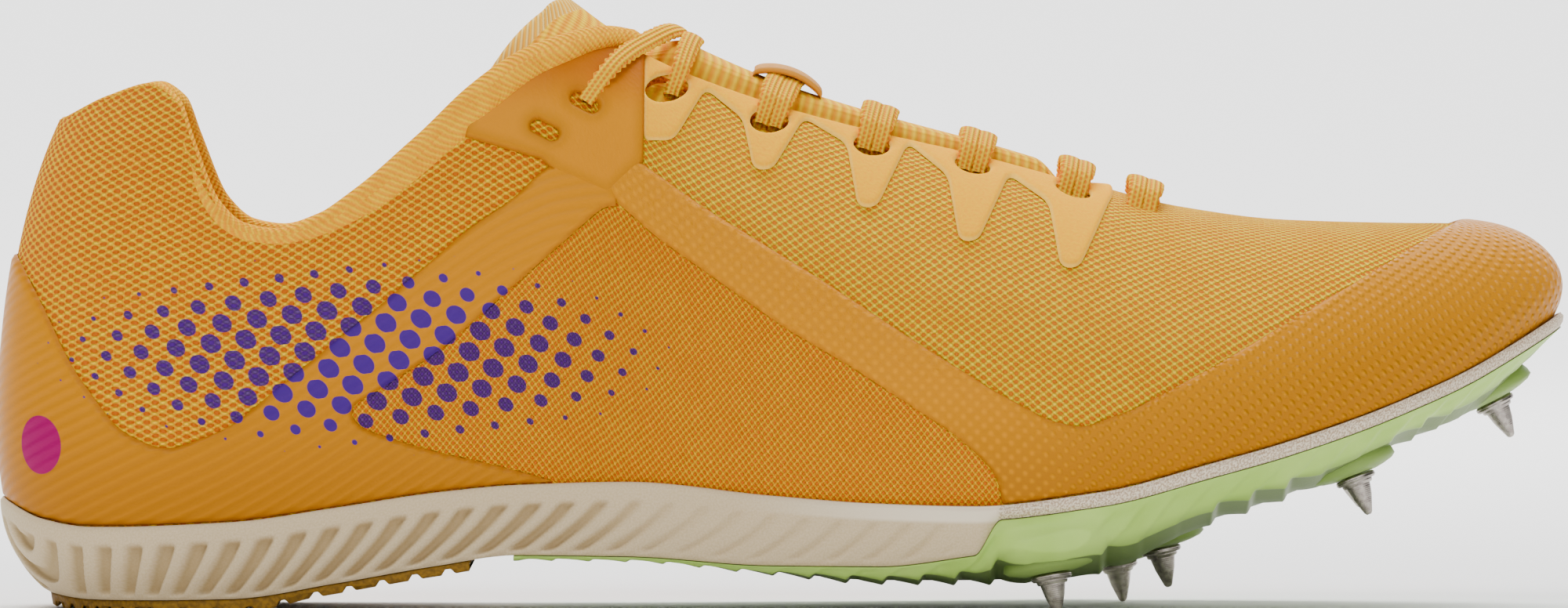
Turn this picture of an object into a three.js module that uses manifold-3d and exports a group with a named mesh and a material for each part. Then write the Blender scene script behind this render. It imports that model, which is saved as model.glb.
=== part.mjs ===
// Track spike shoe, right foot, about EU 43. Millimetres, +Z up, toe to +X, medial side to +Y.
// The shoe stands on the flat of its heel rubber and on the tips of its two rear spikes.
import * as THREE from "three";
import { mergeVertices } from "three/addons/utils/BufferGeometryUtils.js";
import Module from "manifold-3d";

const wasm = await Module();
wasm.setup();

// Sizes of the whole shoe
const LENGTH = 285.4; // heel back to toe tip
const BALL_WIDTH = 89;
const HEEL_WIDTH = 63;
const INSTEP_HEIGHT = 104.2; // ridge of the last at the top eyelet, above the floor
const COLLAR_HEIGHT = INSTEP_HEIGHT + 1.1; // highest point of the collar roll
const STACK = 24; // side of the sole at its tallest
const TOE_SPRING = 48; // lift of the sole at the toe tip
const HEEL_ROUND = 34; // length over which the outline rounds off at the heel
const TOE_ROUND = 80; // the same at the toe
const HEEL_SPINE = 38; // heel back to the last's centre line
const TOE_SPINE = 24; // toe tip to the last's centre line
const TUCK_DEPTH = 3.2; // how far the upper draws in where it meets the sole
const TUCK_HEIGHT = 26; // height over which it draws in, at the heel

// Walls, pieces and clearances
const GAP = 0.3; // between pieces that touch
const WALL = 1.8; // mesh, foam and lining of the upper
const FILM = 0.8; // smooth overlays
const ROLL_HEIGHT = 7.2; // collar roll at its tallest
const ROLL_THICKNESS = 7; // collar roll at its thickest, behind the heel
const ROLL_PROUD = 0.6; // how far the roll stands out of the upper
const ROLL_LENGTH = 116.5; // heel back to the front ends of the roll
const THROAT_WIDTH = 22;
const THROAT_END = 201; // heel back to the front of the throat
const TONGUE_THICKNESS = 3;
const TONGUE_WIDTH = 42;
const TONGUE_TOP = 104.7; // heel back to the middle of the tongue's top edge
const TONGUE_TIP = 204; // heel back to the tongue's front end
const TONGUE_WRAP = 17.7; // how far the sides of the top edge fall back round the ankle
const TONGUE_DROP = 3.7; // depth of the tongue's crown below the last at the top edge
const INSOLE_THICKNESS = 3.5;
const EYELET_WIDTH = 6.6;
const EYELET_LENGTH = 7.6;
const EYELET_DROP = 5.4; // throat edge to the middle of an eyelet
const SLOT_WIDTH = 2.4;
const SLOT_LENGTH = 5.4;
const LACE_WIDTH = 3.2;
const LACE_THICKNESS = 1.8;
const LACE_PITCH = 2.4; // between the two strands of a row
const KEEPER_WIDTH = 11;
const KEEPER_LENGTH = 12.5;
const KEEPER_THICKNESS = 1;
const FOXING = 2.5; // foam strip that shows above the plate at the forefoot
const WRAP_END = 180; // heel back to where the thick foam wrap ends
const SOLE_FLARE = 8.6; // how far the sole's lower edge draws in at the heel back
const FLUTE_PITCH = 6.2;
const FLUTE_DEPTH = 1.1;
const FLUTE_TOP = 3.4; // rim to the top of a flute
const FLUTE_STEP = 0.8; // slope at a flute's top
const FLUTE_FOOT = 1.2; // foam's lower edge to the foot of a flute
const FLUTE_END = 126; // heel back to the last flute
const PLATE_START = 94;
const PLATE_THICKNESS = 1.8;
const PLATE_RIM = 2.2; // width of the plate's edge that stands up round the foam
const PLATE_FLARE = 5; // how far the plate's lower edge draws in
const PLATE_CROWN = 4.5; // how much lower the middle of the plate is than its lower edge
const TOOTH_PITCH = 6.7;
const TOOTH_DEPTH = 1.5;
const NOTCH_SHARE = 0.2; // a tooth's point to its deepest place, share of the pitch
const RUBBER_START = 6;
const RUBBER_END = 86;
const RUBBER_THICKNESS = 1.8;
const BAR_PITCH = 7;
const BAR_DEPTH = 1;
const BOSS_RADIUS = 5;
const BOSS_STAND = 1.3; // how far a boss stands off the plate
const SPIKE_LENGTH = 7.4;
const FLANGE_RADIUS = 3.7;
const FLANGE_THICKNESS = 1.1;
const SPIKE_RADIUS = 2.6;
const TIP_RADIUS = 0.6;

const LATERAL = -1;
const MEDIAL = 1;
const HALF_TURN = Math.PI / 2;

// The last. at: share of LENGTH. centre, lean: shares of BALL_WIDTH, the outline's middle and
// the ridge's shift from it. ball: 0 is HEEL_WIDTH and 1 is BALL_WIDTH. ridge: share of
// INSTEP_HEIGHT. up, out: powers of the section's curve. tuck: share of TUCK_HEIGHT.
const LAST = [
  { at: 0.0, centre: 0.0, ball: 0.0, ridge: 1.104, lean: 0.0, up: 3.0, out: 1.6, tuck: 1.0 },
  { at: 0.16, centre: -0.006, ball: 0.0, ridge: 1.123, lean: 0.0, up: 3.0, out: 1.6, tuck: 0.9 },
  { at: 0.263, centre: -0.019, ball: -0.02, ridge: 1.142, lean: 0.0, up: 3.0, out: 1.6, tuck: 0.75 },
  { at: 0.315, centre: -0.028, ball: -0.01, ridge: 1.147, lean: 0.002, up: 3.0, out: 1.6, tuck: 0.7 },
  { at: 0.35, centre: -0.034, ball: 0.03, ridge: 1.128, lean: 0.006, up: 3.0, out: 1.6, tuck: 0.66 },
  { at: 0.37, centre: -0.037, ball: 0.06, ridge: 1.097, lean: 0.01, up: 2.95, out: 1.63, tuck: 0.64 },
  { at: 0.392, centre: -0.04, ball: 0.1, ridge: 1.053, lean: 0.013, up: 2.9, out: 1.67, tuck: 0.62 },
  { at: 0.42, centre: -0.042, ball: 0.17, ridge: 1.0, lean: 0.017, up: 2.8, out: 1.75, tuck: 0.6 },
  { at: 0.45, centre: -0.045, ball: 0.26, ridge: 0.957, lean: 0.024, up: 2.65, out: 1.84, tuck: 0.58 },
  { at: 0.5, centre: -0.046, ball: 0.44, ridge: 0.9, lean: 0.034, up: 2.5, out: 1.95, tuck: 0.57 },
  { at: 0.56, centre: -0.04, ball: 0.63, ridge: 0.848, lean: 0.045, up: 2.35, out: 2.06, tuck: 0.56 },
  { at: 0.63, centre: -0.024, ball: 0.89, ridge: 0.796, lean: 0.054, up: 2.27, out: 2.15, tuck: 0.55 },
  { at: 0.7, centre: -0.003, ball: 1.0, ridge: 0.739, lean: 0.062, up: 2.25, out: 2.2, tuck: 0.54 },
  { at: 0.753, centre: 0.011, ball: 1.0, ridge: 0.702, lean: 0.06, up: 2.27, out: 2.2, tuck: 0.53 },
  { at: 0.823, centre: 0.038, ball: 0.9, ridge: 0.678, lean: 0.052, up: 2.32, out: 2.25, tuck: 0.5 },
  { at: 0.893, centre: 0.071, ball: 0.74, ridge: 0.673, lean: 0.034, up: 2.45, out: 2.4, tuck: 0.46 },
  { at: 0.946, centre: 0.099, ball: 0.58, ridge: 0.672, lean: 0.015, up: 2.6, out: 2.6, tuck: 0.43 },
  { at: 1.0, centre: 0.124, ball: 0.42, ridge: 0.672, lean: 0.0, up: 2.6, out: 2.6, tuck: 0.4 },
];

// The sole. spring: share of TOE_SPRING that lifts the row. bed, rim, foam, tread: shares of
// STACK above that, for the upper's seat, the visible top line, the foam's lower edge and the
// lowest line. flare: share of SOLE_FLARE.
const SOLE = [
  { at: 0.0, spring: 0, bed: 0.5, rim: 0.86, foam: 0.16, tread: 0.09, flare: 1.0 },
  { at: 0.03, spring: 0, bed: 0.5, rim: 0.7, foam: 0.13, tread: 0.03, flare: 0.85 },
  { at: 0.06, spring: 0, bed: 0.5, rim: 0.65, foam: 0.095, tread: 0.0, flare: 0.68 },
  { at: 0.15, spring: 0, bed: 0.52, rim: 0.69, foam: 0.11, tread: 0.0, flare: 0.45 },
  { at: 0.217, spring: 0, bed: 0.59, rim: 0.8, foam: 0.23, tread: 0.16, flare: 0.35 },
  { at: 0.28, spring: 0, bed: 0.7, rim: 0.915, foam: 0.362, tread: 0.3, flare: 0.3 },
  { at: 0.333, spring: 0, bed: 0.78, rim: 0.975, foam: 0.446, tread: 0.385, flare: 0.27 },
  { at: 0.403, spring: 0, bed: 0.82, rim: 1.0, foam: 0.44, tread: 0.375, flare: 0.25 },
  { at: 0.49, spring: 0, bed: 0.74, rim: 0.905, foam: 0.379, tread: 0.28, flare: 0.25 },
  { at: 0.56, spring: 0, bed: 0.69, rim: 0.846, foam: 0.375, tread: 0.208, flare: 0.27 },
  { at: 0.62, spring: 0, bed: 0.73, rim: 0.829, foam: 0.46, tread: 0.204, flare: 0.27 },
  { at: 0.7, spring: 0.04, bed: 0.76, rim: 0.854, foam: 0.6, tread: 0.204, flare: 0.06 },
  { at: 0.753, spring: 0.18, bed: 0.65, rim: 0.729, foam: 0.6, tread: 0.217, flare: 0.04 },
  { at: 0.823, spring: 0.32, bed: 0.6, rim: 0.679, foam: 0.57, tread: 0.213, flare: 0.03 },
  { at: 0.893, spring: 0.52, bed: 0.49, rim: 0.567, foam: 0.46, tread: 0.2, flare: 0.03 },
  { at: 0.946, spring: 0.68, bed: 0.45, rim: 0.525, foam: 0.42, tread: 0.183, flare: 0.03 },
  { at: 1.0, spring: 0.97, bed: 0.25, rim: 0.308, foam: 0.2, tread: 0.15, flare: 0.03 },
];

// The collar roll. top: share of COLLAR_HEIGHT. roll: share of ROLL_HEIGHT. pad: share of
// ROLL_THICKNESS.
const COLLAR = [
  { at: 0.042, top: 0.858, roll: 0.83, pad: 1.0 },
  { at: 0.07, top: 0.896, roll: 0.83, pad: 1.0 },
  { at: 0.1, top: 0.919, roll: 0.8, pad: 0.86 },
  { at: 0.116, top: 0.893, roll: 0.76, pad: 0.78 },
  { at: 0.126, top: 0.826, roll: 0.7, pad: 0.7 },
  { at: 0.143, top: 0.714, roll: 0.62, pad: 0.6 },
  { at: 0.16, top: 0.673, roll: 0.55, pad: 0.57 },
  { at: 0.179, top: 0.664, roll: 0.5, pad: 0.57 },
  { at: 0.2, top: 0.681, roll: 0.6, pad: 0.57 },
  { at: 0.23, top: 0.735, roll: 0.86, pad: 0.57 },
  { at: 0.265, top: 0.818, roll: 1.0, pad: 0.57 },
  { at: 0.3, top: 0.902, roll: 0.94, pad: 0.57 },
  { at: 0.34, top: 0.9715, roll: 0.83, pad: 0.57 },
  { at: 0.382, top: 1.0, roll: 0.56, pad: 0.5 },
  { at: 0.408, top: 0.987, roll: 0.49, pad: 0.5 },
];

// Upper edge of the heel film, with its strap. height: share of INSTEP_HEIGHT.
const COUNTER_EDGE = [
  { at: 0.0, height: 0.645 },
  { at: 0.011, height: 0.625 },
  { at: 0.03, height: 0.536 },
  { at: 0.05, height: 0.426 },
  { at: 0.08, height: 0.317 },
  { at: 0.11, height: 0.282 },
  { at: 0.15, height: 0.323 },
  { at: 0.19, height: 0.413 },
  { at: 0.25, height: 0.546 },
  { at: 0.3, height: 0.666 },
  { at: 0.33, height: 0.72 },
  { at: 0.349, height: 0.755 },
  { at: 0.389, height: 0.714 },
];

// Outline of the quarter, the mesh panel that shows between the two straps
const QUARTER = [
  { at: 0.392, height: 0.72 },
  { at: 0.285, height: 0.461 },
  { at: 0.24, height: 0.381 },
  { at: 0.228, height: 0.364 },
  { at: 0.227, height: 0.344 },
  { at: 0.233, height: 0.323 },
  { at: 0.25, height: 0.307 },
  { at: 0.28, height: 0.282 },
  { at: 0.31, height: 0.265 },
  { at: 0.35, height: 0.237 },
  { at: 0.362, height: 0.225 },
  { at: 0.366, height: 0.1 },
  { at: 0.44, height: 0.1 },
  { at: 0.44, height: 0.72 },
];

// Edges of the toe film, with its strap
const GUARD_TOP = [
  { at: 0.389, height: 0.716 },
  { at: 0.413, height: 0.776 },
  { at: 0.45, height: 0.704 },
  { at: 0.524, height: 0.58 },
  { at: 0.578, height: 0.484 },
  { at: 0.631, height: 0.393 },
  { at: 0.667, height: 0.34 },
  { at: 0.688, height: 0.327 },
  { at: 0.721, height: 0.359 },
  { at: 0.771, height: 0.431 },
  { at: 0.831, height: 0.525 },
  { at: 0.877, height: 0.595 },
  { at: 0.917, height: 0.656 },
  { at: 1.0, height: 0.75 },
];
const GUARD_FOOT = [
  { at: 0.389, height: 0.712 },
  { at: 0.42, height: 0.653 },
  { at: 0.5, height: 0.499 },
  { at: 0.542, height: 0.432 },
  { at: 0.605, height: 0.32 },
  { at: 0.622, height: 0.281 },
  { at: 0.632, height: 0.252 },
  { at: 0.6365, height: 0.222 },
  { at: 0.638, height: 0.18 },
];

// Lower edge of the lacing wing
const WING_FOOT = [
  { at: 0.299, height: 0.826 },
  { at: 0.347, height: 0.788 },
  { at: 0.356, height: 0.764 },
  { at: 0.389, height: 0.726 },
  { at: 0.41, height: 0.78 },
];

// Eyestay tabs. left: where the tab starts, share of LENGTH. tip: its lowest height. strip:
// height of the narrow strip in front of it. eyelet: middle of its eyelet.
const TABS = [
  { left: 0.4115, tip: 0.82, strip: 0.897, eyelet: 0.426 },
  { left: 0.474, tip: 0.769, strip: 0.846, eyelet: 0.491 },
  { left: 0.54, tip: 0.704, strip: 0.802, eyelet: 0.556 },
  { left: 0.604, tip: 0.646, strip: 0.747, eyelet: 0.62 },
  { left: 0.668, tip: 0.6, strip: 0.7, eyelet: 0.684 },
];
const TAB_SLOPE = 0.007; // shares of LENGTH: the slanted left edge of a tab
const TAB_FOOT = 0.019; // its tip's end
const TAB_RUN = 0.039; // its right edge's end
const EYESTAY_END = 0.71;
const EYESTAY_FRONT = 0.72;

// Rows of lace. at: share of LENGTH at the crest. hole: at the eyelet. drop: throat edge or
// ridge to the end of the strands.
const ROW_SIX_DROP = 16;
const ROWS = [
  { crest: 0.434, hole: 0.426, drop: EYELET_DROP },
  { crest: 0.499, hole: 0.491, drop: EYELET_DROP },
  { crest: 0.56, hole: 0.556, drop: EYELET_DROP },
  { crest: 0.6225, hole: 0.62, drop: EYELET_DROP },
  { crest: 0.685, hole: 0.684, drop: EYELET_DROP },
  { crest: 0.729, hole: 0.728, drop: ROW_SIX_DROP },
];
const WING_SLOT = { at: 0.374, height: 0.885 }; // where the first strand goes in
const SPARE_SLOT = { at: 0.349, height: 0.838 };

// Spikes. across: share of the half width, medial positive. lean: turn towards the toe, in
// degrees. splay: turn outwards. stands: its tip is on the floor.
const SPIKES = [
  { at: 0.669, across: -0.74, lean: 10, splay: 5, stands: true },
  { at: 0.715, across: 0.6, lean: 9, splay: 5, stands: true },
  { at: 0.741, across: 0.04, lean: 12, splay: 0, stands: false },
  { at: 0.863, across: -0.55, lean: 21, splay: 4, stands: false },
  { at: 0.863, across: 0.55, lean: 21, splay: 4, stands: false },
  { at: 0.955, across: 0.05, lean: 27, splay: 0, stands: false },
];

const mix = (a, b, share) => a + (b - a) * share;
const clamp = (value, low, high) => Math.min(high, Math.max(low, value));
const smooth = (value, low, high) => {
  const share = clamp((value - low) / (high - low), 0, 1);
  return share * share * (3 - 2 * share);
};
const range = (count) => Array.from({ length: count }, (_, index) => index);

// Smooth curve through one column of a table, which never overshoots its rows
function curve(rows, column) {
  const xs = rows.map((row) => row.at);
  const ys = rows.map((row) => row[column]);
  const steps = range(rows.length - 1).map((i) => (ys[i + 1] - ys[i]) / (xs[i + 1] - xs[i]));
  const slopes = ys.map((_, i) => {
    if (i === 0) return steps[0];
    if (i === ys.length - 1) return steps[i - 1];
    return steps[i - 1] * steps[i] <= 0 ? 0 : (2 * steps[i - 1] * steps[i]) / (steps[i - 1] + steps[i]);
  });
  return (x) => {
    if (x <= xs[0]) return ys[0];
    if (x >= xs[xs.length - 1]) return ys[ys.length - 1];
    const i = xs.findIndex((at) => at > x) - 1;
    const width = xs[i + 1] - xs[i];
    const t = (x - xs[i]) / width;
    const rise = (3 - 2 * t) * t * t;
    const start = t * (1 - t) * (1 - t) * width * slopes[i];
    const end = t * t * (1 - t) * width * slopes[i + 1];
    return ys[i] + (ys[i + 1] - ys[i]) * rise + start - end;
  };
}

// Straight lines through a table's heights, for edges with corners
function edge(rows) {
  return (x) => {
    const share = x / LENGTH;
    const i = clamp(rows.findIndex((row) => row.at > share) - 1, 0, rows.length - 2);
    if (share >= rows[rows.length - 1].at) return rows[rows.length - 1].height * INSTEP_HEIGHT;
    const t = clamp((share - rows[i].at) / (rows[i + 1].at - rows[i].at), 0, 1);
    return mix(rows[i].height, rows[i + 1].height, t) * INSTEP_HEIGHT;
  };
}

const last = {};
for (const column of ["centre", "ball", "ridge", "lean", "up", "out", "tuck"]) {
  last[column] = curve(LAST, column);
}
const sole = {};
for (const column of ["spring", "bed", "rim", "foam", "tread", "flare"]) {
  sole[column] = curve(SOLE, column);
}
const collar = {};
for (const column of ["top", "roll", "pad"]) {
  collar[column] = curve(COLLAR, column);
}

// Outline of the shoe from above
const centreAt = (x) => last.centre(x / LENGTH) * BALL_WIDTH;
const leanAt = (x) => last.lean(x / LENGTH) * BALL_WIDTH;

function halfWidth(f) {
  const full = mix(HEEL_WIDTH, BALL_WIDTH, last.ball(f / LENGTH)) / 2;
  const heel = Math.max(0, 1 - f / HEEL_ROUND);
  const toe = Math.max(0, 1 - (LENGTH - f) / TOE_ROUND);
  return full * Math.sqrt(Math.max(0, 1 - heel * heel)) * Math.sqrt(Math.max(0, 1 - toe * toe));
}

// The place on the centre line that a point of the outline looks to: the two ends fan out
function spineAt(f) {
  const heel = Math.max(0, 1 - f / (2 * HEEL_SPINE));
  const toe = Math.max(0, 1 - (LENGTH - f) / (2 * TOE_SPINE));
  return f + HEEL_SPINE * heel * heel - TOE_SPINE * toe * toe;
}

// Heights along the sole
const soleHeight = (f, share) => sole.spring(f / LENGTH) * TOE_SPRING + share * STACK;
const bedHeight = (f) => soleHeight(f, sole.bed(f / LENGTH));
const rimHeight = (f) => soleHeight(f, sole.rim(f / LENGTH));
const treadHeight = (f) => soleHeight(f, sole.tread(f / LENGTH));
const foamHeight = (f) =>
  mix(soleHeight(f, sole.foam(f / LENGTH)), rimHeight(f) - FOXING, smooth(f, WRAP_END - 3, WRAP_END + 2));
const flareAt = (f) => sole.flare(f / LENGTH) * SOLE_FLARE;
const collarTop = (x) => collar.top(x / LENGTH) * COLLAR_HEIGHT;
const rollHeight = (x) => collar.roll(x / LENGTH) * ROLL_HEIGHT;
const rollThickness = (x) => collar.pad(x / LENGTH) * ROLL_THICKNESS;

// A station t runs along the outline: lateral below zero, medial above, past the toe tip at
// LENGTH it comes back on the other side.
function station(t) {
  const side = t < 0 ? LATERAL : MEDIAL;
  const f = Math.abs(t);
  return f > LENGTH ? { f: 2 * LENGTH - f, side: -side } : { f, side };
}

function footAndSpine(t) {
  const { f, side } = station(t);
  const a = spineAt(f);
  return {
    f,
    foot: new THREE.Vector3(f, centreAt(f) + side * halfWidth(f), 0),
    spine: new THREE.Vector3(a, centreAt(a) + leanAt(a), 0),
  };
}

// Point of the last's surface: turn 0 is the seat on the sole, a quarter turn is the ridge
function lastPoint(t, turn) {
  if (turn > HALF_TURN) {
    const { f, side } = station(t);
    return lastPoint(-side * f, Math.PI - turn);
  }
  const { f, foot, spine } = footAndSpine(t);
  const share = f / LENGTH;
  const bed = bedHeight(f);
  const rise = (last.ridge(share) * INSTEP_HEIGHT - bed) * Math.sin(turn) ** (2 / last.up(share));
  const reach = Math.max(0, Math.cos(turn)) ** (2 / last.out(share));
  const tuck = Math.max(0, 1 - rise / (last.tuck(share) * TUCK_HEIGHT));
  const outward = foot.clone().sub(spine);
  const length = outward.length();
  const point = spine.clone().addScaledVector(outward, reach - (TUCK_DEPTH * tuck * tuck) / length);
  point.z = bed + rise;
  return point;
}

const STEP_ALONG = 0.05;
const STEP_ROUND = 0.004;

function lastFrame(t, turn) {
  const along = lastPoint(t + STEP_ALONG, turn).sub(lastPoint(t - STEP_ALONG, turn)).normalize();
  const low = Math.max(0, turn - STEP_ROUND);
  const up = lastPoint(t, turn + STEP_ROUND).sub(lastPoint(t, low)).normalize();
  const normal = up.clone().cross(along).normalize();
  return { point: lastPoint(t, turn), along, up, normal };
}

function offsetPoint(t, turn, offset) {
  const { point, normal } = lastFrame(t, turn);
  return point.addScaledVector(normal, offset);
}

// Turn at which a section reaches a height, a rise above the seat, or a distance off the ridge
function turnAtHeight(t, heightAt) {
  let low = 0;
  let high = HALF_TURN;
  for (let step = 0; step < 40; step += 1) {
    const middle = (low + high) / 2;
    const point = lastPoint(t, middle);
    if (point.z < heightAt(point.x)) low = middle;
    else high = middle;
  }
  return low;
}

function turnAtRise(t, rise) {
  const { f } = station(t);
  const share = f / LENGTH;
  const whole = last.ridge(share) * INSTEP_HEIGHT - bedHeight(f);
  return Math.asin(clamp(rise / whole, 0, 1) ** (last.up(share) / 2));
}

function turnAtDistance(t, distance) {
  const { f, foot, spine } = footAndSpine(t);
  const reach = clamp(distance / foot.distanceTo(spine), 0, 1);
  return Math.acos(reach ** (last.out(f / LENGTH) / 2));
}

// Solids
const ROUNDING = 1e4;

function solidOf(geometry) {
  geometry.deleteAttribute("normal");
  geometry.deleteAttribute("uv");
  const places = geometry.attributes.position.array;
  places.forEach((value, i) => {
    places[i] = Math.round(value * ROUNDING) / ROUNDING;
  });
  const merged = mergeVertices(geometry, 0.1 / ROUNDING);
  const faces = [];
  const index = merged.index.array;
  for (let i = 0; i < index.length; i += 3) {
    const [a, b, c] = index.slice(i, i + 3);
    if (a !== b && b !== c && c !== a) faces.push(a, b, c);
  }
  const vertProperties = Float32Array.from(merged.attributes.position.array);
  return new wasm.Manifold(
    new wasm.Mesh({ numProp: 3, vertProperties, triVerts: Uint32Array.from(faces) }),
  );
}

function signedVolume(points, faces) {
  return faces.reduce((sum, [a, b, c]) => sum + points[a].dot(points[b].clone().cross(points[c])), 0);
}

// Solid through closed loops. A loop is one side's points, then the other side's in reverse,
// and an end loop is closed by rungs between the two sides.
function loft(loops) {
  const count = loops[0].length;
  const points = loops.flat();
  const faces = [];
  loops.slice(1).forEach((_, i) => {
    for (const j of range(count)) {
      const next = (j + 1) % count;
      const [a, b] = [i * count + j, i * count + next];
      const [c, d] = [b + count, a + count];
      faces.push([a, b, c], [a, c, d]);
    }
  });
  const end = (loops.length - 1) * count;
  for (const j of range(count / 2 - 1)) {
    const [a, b, c, d] = [j, j + 1, count - 2 - j, count - 1 - j];
    faces.push([a, c, b], [a, d, c], [end + a, end + b, end + c], [end + a, end + c, end + d]);
  }
  if (signedVolume(points, faces) < 0) faces.forEach((face) => face.reverse());
  const geometry = new THREE.BufferGeometry().setFromPoints(points);
  geometry.setIndex(faces.flat());
  return solidOf(geometry);
}

const loopOf = (near, far) => [...near, ...[...far].reverse()];

// Section across a path, from shares of its half sizes, its two halves in a loft's order
function section(centre, across, through, halfAcross, halfThrough, shares) {
  const rim = (sign) =>
    shares.map(([a, b]) =>
      centre
        .clone()
        .addScaledVector(across, a * halfAcross)
        .addScaledVector(through, sign * b * halfThrough),
    );
  return loopOf(rim(1), rim(-1));
}

const FLAT_SECTION = [[-1, 0.75], [1, 0.75]];
const ROUND_SECTION = [[-1, 0.35], [-0.55, 0.9], [0.55, 0.9], [1, 0.35]];

// Prism of a side-view outline, right through the shoe
function sidePrism(outline) {
  const shape = new THREE.Shape(outline.map(([x, z]) => new THREE.Vector2(x, z)));
  const geometry = new THREE.ExtrudeGeometry(shape, { depth: 2 * BALL_WIDTH, bevelEnabled: false });
  geometry.rotateX(HALF_TURN);
  geometry.translate(0, BALL_WIDTH, 0);
  return solidOf(geometry);
}

// Prism of an outline drawn on the surface, square to it
function surfacePrism(t, turn, outline, below, above) {
  const { point, along, up, normal } = lastFrame(t, turn);
  const shape = new THREE.Shape(outline.map(([x, y]) => new THREE.Vector2(x, y)));
  const geometry = new THREE.ExtrudeGeometry(shape, { depth: below + above, bevelEnabled: false });
  const right = up.clone().cross(normal).normalize();
  geometry.translate(0, 0, -below);
  geometry.applyMatrix4(new THREE.Matrix4().makeBasis(right, up, normal).setPosition(point));
  return solidOf(geometry);
}

const ovalOutline = (halfLength, halfHeight, corners) =>
  range(corners).map((i) => {
    const angle = (2 * Math.PI * (i + 0.5)) / corners;
    return [halfLength * Math.cos(angle), halfHeight * Math.sin(angle)];
  });

// Stations that crowd together at the heel and the toe
const END_CROWDING = 0.93;
const easedStations = (count) =>
  range(count + 1).map((i) => {
    const share = i / count;
    return LENGTH * (share - (END_CROWDING * Math.sin(2 * Math.PI * share)) / (2 * Math.PI));
  });

// Distance along the outline from the heel back, and its inverse
const ARC_STEPS = 800;
const arcs = [0];
const outlineAt = (i) => footAndSpine((LENGTH * i) / ARC_STEPS).foot;
for (const i of range(ARC_STEPS)) {
  arcs.push(arcs[i] + outlineAt(i).distanceTo(outlineAt(i + 1)));
}
const stationAtArc = (arc) => {
  const i = clamp(arcs.findIndex((value) => value > arc) - 1, 0, ARC_STEPS - 1);
  return (LENGTH * (i + clamp((arc - arcs[i]) / (arcs[i + 1] - arcs[i]), 0, 1))) / ARC_STEPS;
};
const arcAtStation = (f) => arcs[Math.round((f / LENGTH) * ARC_STEPS)];

// The last grown or shrunk by an offset
const FORM_STATIONS = 29;
const FORM_ROWS = 4;

function formTurns(t) {
  const tuck = last.tuck(station(t).f / LENGTH) * TUCK_HEIGHT;
  const turned = turnAtRise(t, tuck);
  const upper = range(FORM_ROWS).map((i) => mix(turned, HALF_TURN, (i + 1) / FORM_ROWS));
  return [0, turnAtRise(t, tuck * 0.4), turned, ...upper];
}

function form(offset, skirt) {
  const side = (t) => {
    const wall = formTurns(t).map((turn) => offsetPoint(t, turn, offset));
    return [wall[0].clone().setZ(wall[0].z - skirt), ...wall];
  };
  return loft(easedStations(FORM_STATIONS).map((f) => loopOf(side(-f), side(f))));
}

// Region of the side view, from a floor line to a top line along x
function region(from, to, floorAt, topAt, count = 16) {
  const xs = range(count + 1).map((i) => mix(from, to, i / count));
  const top = xs.map((x) => [x, topAt(x)]);
  const floor = xs.reverse().map((x) => [x, floorAt(x)]);
  return sidePrism([...floor, ...top]);
}

const FILM_INNER = GAP;
const FILM_OUTER = GAP + FILM;
const LEFT_OF_HEEL = -10;
const RIGHT_OF_TOE = LENGTH + 10;
const SKY = 2 * COLLAR_HEIGHT;
const filmShell = () => form(FILM_OUTER, 0).subtract(form(FILM_INNER, STACK / 2));
const aboveRim = (x) => rimHeight(clamp(x, 0, LENGTH)) + 3 * GAP;
const outlineOf = (rows) => rows.map(({ at, height }) => [at * LENGTH, height * INSTEP_HEIGHT]);
const largest = (solid) => solid.decompose().sort((a, b) => b.volume() - a.volume())[0];

// Collar: the roll follows the collar's line on the last
const ROLL_SAMPLES = 260;
const ROLL_STEPS = 36;

function collarPath() {
  const dense = range(ROLL_SAMPLES + 1).map((i) => {
    const t = mix(-ROLL_LENGTH, ROLL_LENGTH, i / ROLL_SAMPLES);
    const turn = turnAtHeight(t, collarTop);
    return { t, turn, point: lastPoint(t, turn) };
  });
  const lengths = [0];
  dense.slice(1).forEach((spot, i) => lengths.push(lengths[i] + spot.point.distanceTo(dense[i].point)));
  return range(ROLL_STEPS + 1).map((k) => {
    const wanted = (lengths[ROLL_SAMPLES] * k) / ROLL_STEPS;
    const i = clamp(lengths.findIndex((value) => value > wanted) - 1, 0, ROLL_SAMPLES - 1);
    const share = clamp((wanted - lengths[i]) / (lengths[i + 1] - lengths[i]), 0, 1);
    const t = k === ROLL_STEPS ? ROLL_LENGTH : mix(dense[i].t, dense[i + 1].t, share);
    return { t, turn: turnAtHeight(t, collarTop) };
  });
}

function collarRoll(extra) {
  const path = collarPath();
  const spots = path.map(({ t, turn }) => lastFrame(t, turn));
  return loft(
    spots.map(({ point, normal }, i) => {
      const ahead = spots[Math.min(i + 1, spots.length - 1)].point;
      const behind = spots[Math.max(i - 1, 0)].point;
      const direction = ahead.clone().sub(behind).normalize();
      const down = normal.clone().cross(direction).normalize();
      const halfHeight = rollHeight(point.x) / 2;
      const thickness = rollThickness(point.x);
      const centre = point
        .clone()
        .addScaledVector(down, halfHeight)
        .addScaledVector(normal, ROLL_PROUD - thickness / 2);
      return section(centre, normal, down, thickness / 2 + extra, halfHeight + extra, ROUND_SECTION);
    }),
  );
}

function collarCutter() {
  const middle = (x) => collarTop(x) - rollHeight(x) / 2;
  return region(LEFT_OF_HEEL, ROLL_LENGTH, middle, () => SKY, 30);
}

// Throat: a slot from above with a round front end, centred on the ridge
const THROAT_STEPS = 10;

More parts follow.
